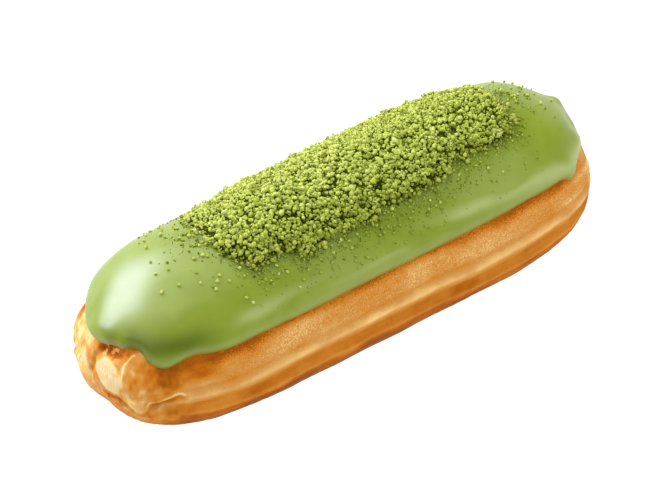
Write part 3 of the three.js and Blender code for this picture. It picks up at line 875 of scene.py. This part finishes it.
# Painted sheen: pale streaks a little above the rim and hazy patches along the front, a painted reflection
# of the light in front.
sway = 1.2 * noise(glaze_grid, 13, 44)
streaky = smoothstep(noise(glaze_grid / np.array([12, 5, 3]), 1, 45), -0.45, 0.4)
front = smoothstep(-glaze_grid[..., 1], 4, 10) * smoothstep(glaze_grid[..., 0], -46, -36)
middle_row = np.interp(glaze_grid[..., 0], *zip(*PAINTED_SHEEN_ABOVE_RIM)) + sway
patches = smoothstep(noise(glaze_grid / np.array([2, 1, 1]), 7, 46), -0.5, 0.6)
sheen_haze = SHEEN_HAZE * patches * smoothstep(rim_rows, 0.8, 3)
sheen_haze *= smoothstep(glaze_grid[..., 0], -30, -8) * smoothstep(-glaze_grid[..., 0], -46, -34)
painted_sheen = np.maximum(bell(rim_rows - middle_row, PAINTED_SHEEN_SPREAD) * streaky, sheen_haze) * front
print("deep and milky share of the glaze:", deep.mean().round(3), painted_sheen.mean().round(3))

# %% [markdown]
# Matcha glaze is a set fondant: smooth, satin and a little translucent, so it gets subsurface light, a soft
# gloss and hardly any bump. Near the heap fine powder clings to it, with a dark speckle that follows the
# dusted value. The glaze is darker there too, partly from the powder and partly as painted shadow of the
# heap.

# %% Glaze finish
GLAZE_LIGHT = linear(138, 157, 38)
GLAZE_PLAIN = linear(130, 149, 26)
# Colour of the glaze's painted shade, also used for its darkening near the heap.
GLAZE_SHADE_AND_DUST = linear(92, 110, 0)
GLAZE_THIN = linear(152, 130, 54)
# Pale colour of the painted sheen on the front.
GLAZE_PAINTED_SHEEN = linear(170, 184, 108)
POWDER = linear(84, 100, 14)
DUST_AND_SHADOW_DEEPER = 0.5
CLOUDS_PER_METRE = 160
POWDER_PER_METRE = 3000
RIPPLES_PER_METRE = 240
POWDER_FROM = 0.93
POWDER_GAIN = 0.42
GLAZE_ROUGHNESS = 0.38
POWDER_ROUGHNESS = 0.8


def mixed(tree, share, first, second):
    """Two colours mixed by a share."""
    inputs = {"Factor": share, "A": first, "B": second}
    return add_node(tree, "ShaderNodeMix", inputs, data_type="RGBA").outputs["Result"]


glaze, tree, shader = new_finish("matcha_glaze")
clouds = surface_noise(tree, CLOUDS_PER_METRE, 2)
body = ramp(tree, clouds, [(0.35, GLAZE_PLAIN), (0.65, GLAZE_LIGHT)])
# Painted shade where deep is high.
body = mixed(tree, attribute(tree, "deep"), body, GLAZE_SHADE_AND_DUST)
# Painted sheen along the front.
body = mixed(tree, attribute(tree, "painted_sheen"), body, GLAZE_PAINTED_SHEEN)
# Near the heap the glaze is darker, partly from powder and partly as painted shadow of the heap.
body = mixed(tree, math_node(tree, "MULTIPLY", attribute(tree, "dusted"), DUST_AND_SHADOW_DEEPER), body, GLAZE_SHADE_AND_DUST)
body = mixed(tree, attribute(tree, "thin"), body, GLAZE_THIN)
powder_noise = surface_noise(tree, POWDER_PER_METRE, 2)
more_powder = math_node(tree, "MULTIPLY", attribute(tree, "dusted"), POWDER_GAIN)
threshold = math_node(tree, "SUBTRACT", POWDER_FROM, more_powder)
over = math_node(tree, "SUBTRACT", powder_noise, threshold)
grain = add_node(tree, "ShaderNodeMapRange", {"Value": over, "From Min": 0, "From Max": 0.05})
tree.links.new(mixed(tree, grain.outputs[0], body, POWDER), shader.inputs["Base Color"])
matt = {"Value": grain.outputs[0], "To Min": GLAZE_ROUGHNESS, "To Max": POWDER_ROUGHNESS}
gloss = add_node(tree, "ShaderNodeMapRange", matt)
tree.links.new(gloss.outputs[0], shader.inputs["Roughness"])
ripple_noise = surface_noise(tree, RIPPLES_PER_METRE, 2)
ripple = add_node(tree, "ShaderNodeBump", {"Strength": 0.04, "Distance": 0.001, "Height": ripple_noise})
tree.links.new(ripple.outputs["Normal"], shader.inputs["Normal"])
shader.inputs["Specular IOR Level"].default_value = 0.65
shader.inputs["Subsurface Weight"].default_value = 0.2
shader.inputs["Subsurface Radius"].default_value = (1.0, 1.0, 0.3)
shader.inputs["Subsurface Scale"].default_value = 0.0015

corners, triangles, kept = closed_grid(glaze_grid)
values = {"dusted": dusted, "deep": deep, "thin": thin, "painted_sheen": painted_sheen}
values = {name: value.reshape(-1)[kept] for name, value in values.items()}
glaze_piece = make_piece("glaze_coat", corners, triangles, glaze, **values)

# %% [markdown]
# Under the loose crumbs lies a bed of packed ones. It is the heap's own core: a sheet over the glaze, with
# bumps of crumb size, closed underneath. It ends a little inside the heap's outline, so that only single
# crumbs are left at the edge, and it only shows between the crumbs, where its darkest tone is painted shade.

# %% Crumb bed
BED_ROWS = 260
BED_COLUMNS = 110
BED_UNDER = 8
BED_END = 0.985
BED_MARGIN = 1.2
BED_SLOPE = 3.5
BED_SUNK = 0.35
BED_BOTTOM = -0.3
BED_POINT = 0.15
CLEFT_DEPTH = 1.7
DOMES = [(0.75, 2.3, 61), (0.25, 1.1, 62)]


def domes(x, arc, cell, seed):
    """Round tops on a jittered net: 1 at the nearest middle, falling as a circle to 0 at 3/4 of a cell."""
    table = np.random.default_rng(seed).random((LATTICE, LATTICE, 2))
    column, row = np.floor(x / cell).astype(int), np.floor(arc / cell).astype(int)
    nearest = np.full(x.shape, np.inf)
    for step in np.ndindex(3, 3):
        at_column, at_row = column + step[0] - 1, row + step[1] - 1
        shift = table[at_column % LATTICE, at_row % LATTICE]
        away = np.hypot((at_column + shift[..., 0]) * cell - x, (at_row + shift[..., 1]) * cell - arc)
        nearest = np.minimum(nearest, away)
    return np.sqrt(np.maximum(1 - (nearest / (0.75 * cell)) ** 2, 0))


def heap_clefts(x, arc):
    """Clefts of the heap from 0 to 1 between large and small domes, deep in front, shallow at the back."""
    tops = sum(share * domes(x, arc, cell, seed) for share, cell, seed in DOMES)
    return np.interp(arc, [-9, 8], [1, 0.3]) * (1 - tops)


def heap_level(x, arc):
    """Height of the heap over the glaze: full inside, a quarter round down to its edge, less its clefts."""
    inside = np.clip((heap_inside(x, arc) - BED_MARGIN) / BED_SLOPE, 0, 1)
    full = np.interp(arc, [2, 12], [HEAP_THICKNESS, HEAP_BACK_THICKNESS])
    return np.sqrt(1 - (1 - inside) ** 2) * (full - CLEFT_DEPTH * heap_clefts(x, arc))


def rim_distance(station, turn):
    """Distance from the rim at a spot: its ray's place in the loop, and how far along that ray it lies."""
    spine_end = math.asin(ICING_SPINE / HALF_LENGTH)
    start = np.clip(station, -spine_end, spine_end)
    endways = (station - start) / (np.pi / 2 - spine_end)
    sideways = -turn / (np.pi / 2)
    along = (np.sin(start) * HALF_LENGTH / ICING_SPINE + 1) / 2
    straight = np.where(sideways < 0, along, 1 - along) * STRAIGHT_RAYS
    straight += np.where(sideways < 0, 0, STRAIGHT_RAYS + FAN_RAYS)
    fan = (np.arctan2(sideways, endways) + np.pi / 2) % (2 * np.pi) / np.pi
    fan = fan * FAN_RAYS + np.where(fan < 1, 1, 2) * STRAIGHT_RAYS
    place = np.where(endways == 0, straight, fan)
    rim = np.interp(place, np.arange(len(rims) + 1), np.append(rims, rims[0]))
    return RIM_TO_CROWN * np.maximum(1 - np.hypot(endways, sideways) / rim, 0)


def on_icing(x, arc, height):
    """Point over the glaze by a height, at x along the bun and an arc round it."""
    station = np.arcsin(np.clip(x / HALF_LENGTH, -1, 1))
    turn = -arc / HEAP_RADIUS
    base = smooth_point(station, turn)
    return lifted(station, turn, GAP + icing_height(base, rim_distance(station, turn)) + height)


along = BED_END * np.sin(np.linspace(-np.pi / 2, np.pi / 2, BED_ROWS))[:, None]
over = np.linspace(-1, 1, BED_COLUMNS, endpoint=False)
under = np.linspace(1, -1, BED_UNDER, endpoint=False)
across = np.concatenate([over, under])[None, :]
bed_x = HEAP_MIDDLE + HEAP_HALF_LENGTH * along + 0 * across
pointed = np.sqrt(np.clip(1 - (along / BED_END) ** 2, 0, 1)) ** BED_POINT
bed_arc = across * heap_reach(along, across < 0) * pointed
bed_rise = heap_level(bed_x, bed_arc) - BED_SUNK
bed_rise[:, BED_COLUMNS:] = BED_BOTTOM
bed_rise[[0, -1]] = BED_BOTTOM
bed = on_icing(bed_x, bed_arc, np.maximum(bed_rise, BED_BOTTOM))
print("bed grid:", bed.shape)

# %% [markdown]
# Matcha crumbs are dry and matt. Each crumb has its own tone, so the finish reads a value that the crumb
# carries at all its corners and adds a fine noise and a bump for its powdery skin.

# %% Crumb finish
# The darkest stops of the ramp serve the painted shade of the bed and the clefts.
CRUMB_COLOURS = [
    (0.0, linear(58, 70, 0)),
    (0.35, linear(152, 164, 54)),
    (0.65, linear(193, 204, 95)),
    (1.0, linear(215, 222, 134)),
]
SPECKS_PER_METRE = 3200
MOTTLE = 0.25

crumb, tree, shader = new_finish("matcha_crumbs")
skin_noise = surface_noise(tree, SPECKS_PER_METRE, 2)
mottle = math_node(tree, "MULTIPLY", math_node(tree, "SUBTRACT", skin_noise, 0.5), MOTTLE)
tone = math_node(tree, "ADD", attribute(tree, "tone"), mottle)
tree.links.new(ramp(tree, tone, CRUMB_COLOURS), shader.inputs["Base Color"])
powdery = add_node(tree, "ShaderNodeBump", {"Strength": 0.2, "Distance": 0.0002, "Height": skin_noise})
tree.links.new(powdery.outputs["Normal"], shader.inputs["Normal"])
shader.inputs["Roughness"].default_value = 0.95
shader.inputs["Specular IOR Level"].default_value = 0.05

corners, triangles, _ = closed_grid(bed)
# The bed takes tone 0, the darkest colour: painted shade between the crumbs.
bed_piece = make_piece("crumb_bed", corners, triangles, crumb, tone=np.zeros(len(corners)))

# %% [markdown]
# Thousands of crumbs would be slow as separate objects. One ball of a few dozen faces is repeated by arrays
# instead: every copy is stretched, dented and turned by seeded chance, and each kind of crumb becomes one
# mesh.

# %% Repeated crumbs
STRETCH = 0.16
DENT = 0.07


def ball(rows, columns):
    """A unit ball on a grid of latitude rows and longitude columns, each row turned half a step."""
    latitude = np.linspace(0, np.pi, rows)[:, None]
    longitude = (np.arange(columns)[None, :] + 0.5 * np.arange(rows)[:, None]) * 2 * np.pi / columns
    ring = np.sin(latitude)
    sides = [ring * np.cos(longitude), ring * np.sin(longitude), np.cos(latitude) + 0 * longitude]
    return closed_grid(np.stack(sides, axis=-1))[:2]


def random_turns(count, chance):
    """Rotation matrices from random unit quaternions."""
    parts = chance.normal(size=(4, count))
    w, x, y, z = parts / np.linalg.norm(parts, axis=0)
    rows = [
        [1 - 2 * (y * y + z * z), 2 * (x * y - w * z), 2 * (x * z + w * y)],
        [2 * (x * y + w * z), 1 - 2 * (x * x + z * z), 2 * (y * z - w * x)],
        [2 * (x * z - w * y), 2 * (y * z + w * x), 1 - 2 * (x * x + y * y)],
    ]
    return np.moveaxis(np.array(rows), -1, 0)


def strew(name, form, centres, radii, tones, chance):
    """One mesh of a ball repeated at centres with radii: stretched by up to a sixth, dented, then turned."""
    corners, triangles = form
    count = len(centres)
    stretch = chance.uniform(1 - STRETCH, 1 + STRETCH, (count, 1, 3))
    dents = chance.normal(1, DENT, (count, len(corners), 1))
    turned = np.einsum("nij,nkj->nki", random_turns(count, chance), corners * stretch * dents)
    points = centres[:, None, :] + radii[:, None, None] * turned
    faces = triangles[None] + len(corners) * np.arange(count)[:, None, None]
    tone = np.repeat(tones, len(corners))
    return make_piece(name, points.reshape(-1, 3), faces.reshape(-1, 3), crumb, tone=tone)


ROUND = ball(6, 6)
GRAIN = ball(5, 6)
FINE = ball(4, 5)
print("faces of a round crumb, a grain and a fine one:", [len(form[1]) for form in (ROUND, GRAIN, FINE)])

# %% [markdown]
# Single grains cover the bed. A jittered triangular net spreads them evenly, as sifted crumbs lie, with no
# holes and few doubles: coarse grains in front and a finer meal along the back. Towards the outline they are
# kept with a falling chance, so the heap thins out instead of ending. Grains down in the clefts are darker,
# as painted shade. The crumbs are painted lighter along the back and darker in front and at the far end, as
# painted light and shade.

# %% Grains on the bed
GRAIN_SPACING = 0.95
MEAL_SPACING = 0.68
GRAIN_TONE = 0.66
CLEFT_PAINTED_SHADE = 0.8
chance = np.random.default_rng(7)


def net(spacing, jitter):
    """Spots of a triangular net over the heap's map, each moved by up to a share of the spacing."""
    rows = np.arange(-HEAP_FRONT_REACH - 4, HEAP_BACK_REACH + 4, spacing * math.sqrt(3) / 2)
    steps = np.arange(-HEAP_HALF_LENGTH - 7, HEAP_HALF_LENGTH + 7, spacing)
    x = HEAP_MIDDLE + steps[None, :] + spacing / 2 * (np.arange(len(rows)) % 2)[:, None]
    arc = rows[:, None] + 0 * x
    moved = chance.uniform(-jitter, jitter, (2,) + x.shape) * spacing
    return (x + moved[0]).reshape(-1), (arc + moved[1]).reshape(-1)


def kept_share(x, arc):
    """Chance of a crumb: 1 in the heap, 0 outside, fading slowly at the ends and slowest at the far one."""
    endways = smoothstep(np.abs(x - HEAP_MIDDLE), HEAP_HALF_LENGTH - 9, HEAP_HALF_LENGTH)
    far = smoothstep(x, 28, 44)
    return smoothstep(heap_inside(x, arc), -1 - 3.5 * endways, 2.6 + 2.5 * endways + 3.5 * far) ** 1.5


def painted_light_by_place(x, arc):
    """How much lighter a crumb is painted by its place, as painted light and shade: darker in front and at
    the far end, lighter along the back.
    """
    return np.interp(arc, [-13, -5, 3, 12], [-0.17, 0.05, 0.15, 0.12]) - 0.07 * smoothstep(x, 12, 34)


def grain_layer(name, form, spacing, kept_by_arc, size):
    """Grains on a net as one piece, kept by a chance for each arc, with radii from a base and a spread."""
    x, arc = net(spacing, 0.45)
    kept = chance.random(len(x)) < kept_share(x, arc) * np.interp(arc, *kept_by_arc)
    x, arc = x[kept], arc[kept]
    radii = size[0] + size[1] * chance.random(len(x)) ** 1.6
    level = np.maximum(heap_level(x, arc) - 0.2, 0.6 * radii) + chance.uniform(-0.1, 0.2, len(x))
    # Grains in the clefts are painted darker, as painted shade.
    tones = chance.normal(GRAIN_TONE, 0.08, len(x)) - CLEFT_PAINTED_SHADE * heap_clefts(x, arc)
    tones += painted_light_by_place(x, arc)
    return strew(name, form, on_icing(x, arc, level), radii, tones, chance)


grains = grain_layer("crumb_grains", GRAIN, GRAIN_SPACING, ([-1, 6], [1, 0.3]), (0.34, 0.26))
meal = grain_layer("crumb_meal", FINE, MEAL_SPACING, ([-3, 4], [0.25, 1]), (0.22, 0.18))

# %% [markdown]
# Some crumbs cling together in clumps. Each clump is two dozen grains round one middle, set on top of the
# heap. They are most common towards the front, where dark gaps open between them, and fewer along the back.

# %% Clumps
CLUMP_SPACING = 2.4
CLUMP_GRAINS = 24
CRUMB_TONE = (0.62, 0.1)

clump_x, clump_arc = net(CLUMP_SPACING, 0.48)
common = np.interp(clump_arc, [-14, -4, 6, 14], [0.9, 0.7, 0.5, 0.4])
wanted = chance.random(len(clump_x)) < common * (heap_inside(clump_x, clump_arc) > 0.5)
clump_x, clump_arc = clump_x[wanted], clump_arc[wanted]
size = (0.5 + 0.8 * chance.random(len(clump_x)) ** 2) * np.interp(clump_arc, [0, 14], [1, 0.75])
level = np.maximum(heap_level(clump_x, clump_arc), 0.5 * size) + 0.1 * size
middle = on_icing(clump_x, clump_arc, level)
spread = chance.normal(size=(len(clump_x), CLUMP_GRAINS, 3))
reach = chance.random((len(clump_x), CLUMP_GRAINS, 1)) ** 0.4
spread *= reach / np.linalg.norm(spread, axis=-1, keepdims=True)
centres = (middle[:, None, :] + spread * size[:, None, None]).reshape(-1, 3)
radii = np.repeat(size, CLUMP_GRAINS) * chance.uniform(0.2, 0.36, len(centres))
# Painted light by place: clumps lighter along the back, darker in front and at the far end.
clump_tones = chance.normal(*CRUMB_TONE, len(clump_x)) + painted_light_by_place(clump_x, clump_arc)
tones = np.repeat(clump_tones, CLUMP_GRAINS) + chance.normal(0, 0.06, len(centres))
clumps = strew("crumb_clumps", FINE, centres, radii, tones, chance)

# %% [markdown]
# Round crumbs lie singly over the front half above all. They stand on the grains, catch the light on top
# and shade what lies in front of them.

# %% Round crumbs
ROUND_SPACING = 1.3

x, arc = net(ROUND_SPACING, 0.5)
common = kept_share(x, arc) * np.interp(arc, [-12, -2, 8, 14], [0.75, 0.55, 0.35, 0.35])
wanted = chance.random(len(x)) < common
x, arc = x[wanted], arc[wanted]
radii = (0.4 + 0.3 * chance.random(len(x)) ** 2) * np.interp(arc, [-2, 12], [1, 0.8])
level = np.maximum(heap_level(x, arc) + chance.uniform(-0.1, 0.4, len(x)), 0.8 * radii)
# Painted light by place: round crumbs lighter along the back, darker in front and at the far end.
tones = chance.normal(*CRUMB_TONE, len(x)) + painted_light_by_place(x, arc)
rounds = strew("crumb_rounds", ROUND, on_icing(x, arc, level), radii, tones, chance)

# %% [markdown]
# Fine crumbs fill the gaps and lie on the larger ones. Round the heap they thin out over a few millimetres
# of glaze. Single round grains rolled further: a handful at the near end where the picture shows them, the
# rest by chance.

# %% Fine and loose crumbs
FINES = 6000
LOOSE = 2000
ROLLED = 40
ROLLED_NEAR = [(-50.2, -6.7), (-46.8, -7.6), (-42.9, -9.8), (-39.7, -11.3), (-38.6, -10.3), (-37.4, -12.5)]
ROLLED_NEAR += [(-40.8, -4.2), (-38.9, -4.5), (-45.5, 6.1), (-33.9, -11), (-40.8, -12.8), (-35.7, -17.7)]
ROLLED_NEAR += [(-33.9, -13), (-48.8, -1.9), (-24.7, -16.5), (-26.3, -14.2)]
ROLLED_NEAR += [(-44, 9), (-42, 11.5), (-41, 7.2), (-40, 13), (-39, 9.8), (-38.4, 12.1)]
ROLLED_NEAR += [(-37.6, 6.6), (-37, 14)]
TRIES = 14
DUST_RADIUS = 0.09
DUST_TONE = (0.14, 0.08)
ROLLED_RADIUS = (0.28, 0.46)
ROLLED_TONE = (0.72, 0.1)


def scattered(count, thin_over):
    """Spots on the map, kept with a chance that is 1 in the heap and falls off over a distance outside."""
    x = HEAP_MIDDLE + chance.uniform(-1.45, 1.3, TRIES * count) * HEAP_HALF_LENGTH
    arc = chance.uniform(-HEAP_FRONT_REACH - 9, HEAP_BACK_REACH + 6, TRIES * count)
    keep = chance.random(TRIES * count) < np.exp(np.minimum(heap_inside(x, arc) - 0.8, 0) / thin_over)
    return x[keep][:count], arc[keep][:count]


x, arc = scattered(FINES, 1.1)
radii = 0.12 + 0.15 * chance.random(len(x)) ** 2
level = np.maximum(heap_level(x, arc) + chance.uniform(-0.1, 0.25, len(x)), 0.6 * radii)
# Fines in the clefts are painted darker, as painted shade.
tones = chance.normal(*CRUMB_TONE, len(x)) - 0.7 * heap_clefts(x, arc)
fines = strew("crumb_fines", FINE, on_icing(x, arc, level), radii, tones, chance)

x, arc = scattered(5 * LOOSE, 3.2)
outside = heap_inside(x, arc) < 0
x, arc = x[outside][:LOOSE], arc[outside][:LOOSE]
radii = DUST_RADIUS + 0.26 * chance.random(len(x)) ** 4
tones = chance.normal(*DUST_TONE, len(x)) + 1.2 * (radii - DUST_RADIUS)
far_x, far_arc = scattered(40 * ROLLED, 4.5)
outside = heap_inside(far_x, far_arc) < -0.5
near_x, near_arc = np.array(ROLLED_NEAR).T
rolled_x = np.concatenate([near_x, far_x[outside][:ROLLED]])
rolled_arc = np.concatenate([near_arc, far_arc[outside][:ROLLED]])
rolled_radii = chance.uniform(*ROLLED_RADIUS, len(rolled_x))
x, arc = np.append(x, rolled_x), np.append(arc, rolled_arc)
radii = np.append(radii, rolled_radii)
tones = np.append(tones, chance.normal(*ROLLED_TONE, len(rolled_x)))
loose = strew("crumb_loose", GRAIN, on_icing(x, arc, 0.65 * radii), radii, tones, chance)

# %% [markdown]
# The studio is plain: a white floor that lights the crust from below, a pale ceiling with a wide soft box,
# a soft box behind on the left, a white backdrop and a low card at the front right. The walls are dark,
# which keeps the side of the glaze deep in colour. The sheen on the near end is set apart from the light
# that fills the shadows: a cool window gives the gloss alone, and the box beside it and the card give none.

# %% Floor and lights
FLOOR_SIZE = 3000
FLOOR_GAP = 0.2
FLOOR_CLOUDS_PER_METRE = 3
AIM_LEVEL = 20
KEY = ((-0.35, 0.718, 0.602), 900, (520, 560), 5)
WINDOW = ((-0.4, 0.61, 0.684), 900, (900, 620), 19.5)
WINDOW_COLOUR = (0.76, 0.73, 1.3)
TOP = ((-0.2, 0.15, 1), 1300, (2300, 2300), 25)
FILL = ((0.5, -0.8, 0.36), 900, (1300, 600), 3.6)
BACKDROP = ((0.622, 0.783, 0.25), 1300, (2600, 600), 6)
CEILING_TILT = (-0.25, 0.2, 0.947)
HORIZON_GLOW = 0.08
CEILING_GLOW = 0.55
CEILING_FADE = (0.5, 0.8)
SKY_COLOUR = (0.95, 0.98, 1, 1)
FLOOR_DARK = (0.08, 0.08, 0.08, 1)
FLOOR_LIGHT = (0.1, 0.1, 0.1, 1)


def soft_box(name, heading, distance, size, watts):
    """A rectangular light that faces the bun from a heading."""
    light = bpy.data.lights.new(name, "AREA")
    light.shape = "RECTANGLE"
    light.size, light.size_y = size[0] * MM, size[1] * MM
    light.energy = watts
    lamp = bpy.data.objects.new(name, light)
    direction = Vector(heading).normalized()
    lamp.location = (direction * distance + Vector((0, 0, AIM_LEVEL))) * MM
    lamp.rotation_euler = direction.to_track_quat("Z", "Y").to_euler()
    bpy.context.collection.objects.link(lamp)
    return lamp


soft_box("key", *KEY).visible_glossy = False
window = soft_box("window", *WINDOW)
window.visible_diffuse = False
window.data.color = WINDOW_COLOUR
soft_box("top", *TOP)
soft_box("fill", *FILL).visible_glossy = False
soft_box("backdrop", *BACKDROP)

floor_finish, tree, shader = new_finish("pale_floor")
floor_clouds = surface_noise(tree, FLOOR_CLOUDS_PER_METRE, 2)
cloudy = ramp(tree, floor_clouds, [(0.3, FLOOR_DARK), (0.7, FLOOR_LIGHT)])
tree.links.new(cloudy, shader.inputs["Base Color"])
shader.inputs["Roughness"].default_value = 0.9
shader.inputs["Emission Color"].default_value = (1, 1, 1, 1)
shader.inputs["Emission Strength"].default_value = 1.0

edge = np.array([-FLOOR_SIZE, FLOOR_SIZE]) / 2
floor_mesh = bpy.data.meshes.new("floor")
floor_corners = [(x * MM, y * MM, -FLOOR_GAP * MM) for y in edge for x in edge]
floor_mesh.from_pydata(floor_corners, [], [(0, 1, 3, 2)])
floor_mesh.materials.append(floor_finish)
floor = bpy.data.objects.new("floor", floor_mesh)
bpy.context.collection.objects.link(floor)
floor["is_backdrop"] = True

sky = bpy.data.worlds.new("sky")
sky.use_nodes = True
tree = sky.node_tree
direction = add_node(tree, "ShaderNodeTexCoord", {}).outputs["Generated"]
turned = add_node(tree, "ShaderNodeVectorMath", {0: direction, 1: CEILING_TILT}, operation="DOT_PRODUCT")
fade = {"Value": turned.outputs["Value"], "From Min": CEILING_FADE[0], "From Max": CEILING_FADE[1]}
fade.update({"To Min": HORIZON_GLOW, "To Max": CEILING_GLOW})
glow = add_node(tree, "ShaderNodeMapRange", fade, interpolation_type="SMOOTHSTEP").outputs[0]
tree.links.new(glow, tree.nodes["Background"].inputs["Strength"])
tree.nodes["Background"].inputs["Color"].default_value = SKY_COLOUR
bpy.context.scene.world = sky
bpy.context.scene.view_settings.view_transform = "Standard"
print("lights:", KEY[3], WINDOW[3], TOP[3], FILL[3], BACKDROP[3], "W")

# %% [markdown]
# Last, every piece is bound to the part's one body, the solids are hidden, and the sizes of the dressed part
# are printed.

# %% Bind the pieces to the frame
for piece, slot in [(crust_piece, "choux"), (glaze_piece, "glaze"), (bed_piece, "crumbs")]:
    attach(piece, "root")
for piece in (grains, meal, clumps, rounds, fines, loose):
    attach(piece, "root")
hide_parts("choux_bun")
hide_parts("matcha_glaze")
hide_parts("matcha_crumbs")

low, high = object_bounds()
print("dressed, mm:", [round(side / MM, 1) for side in high - low])
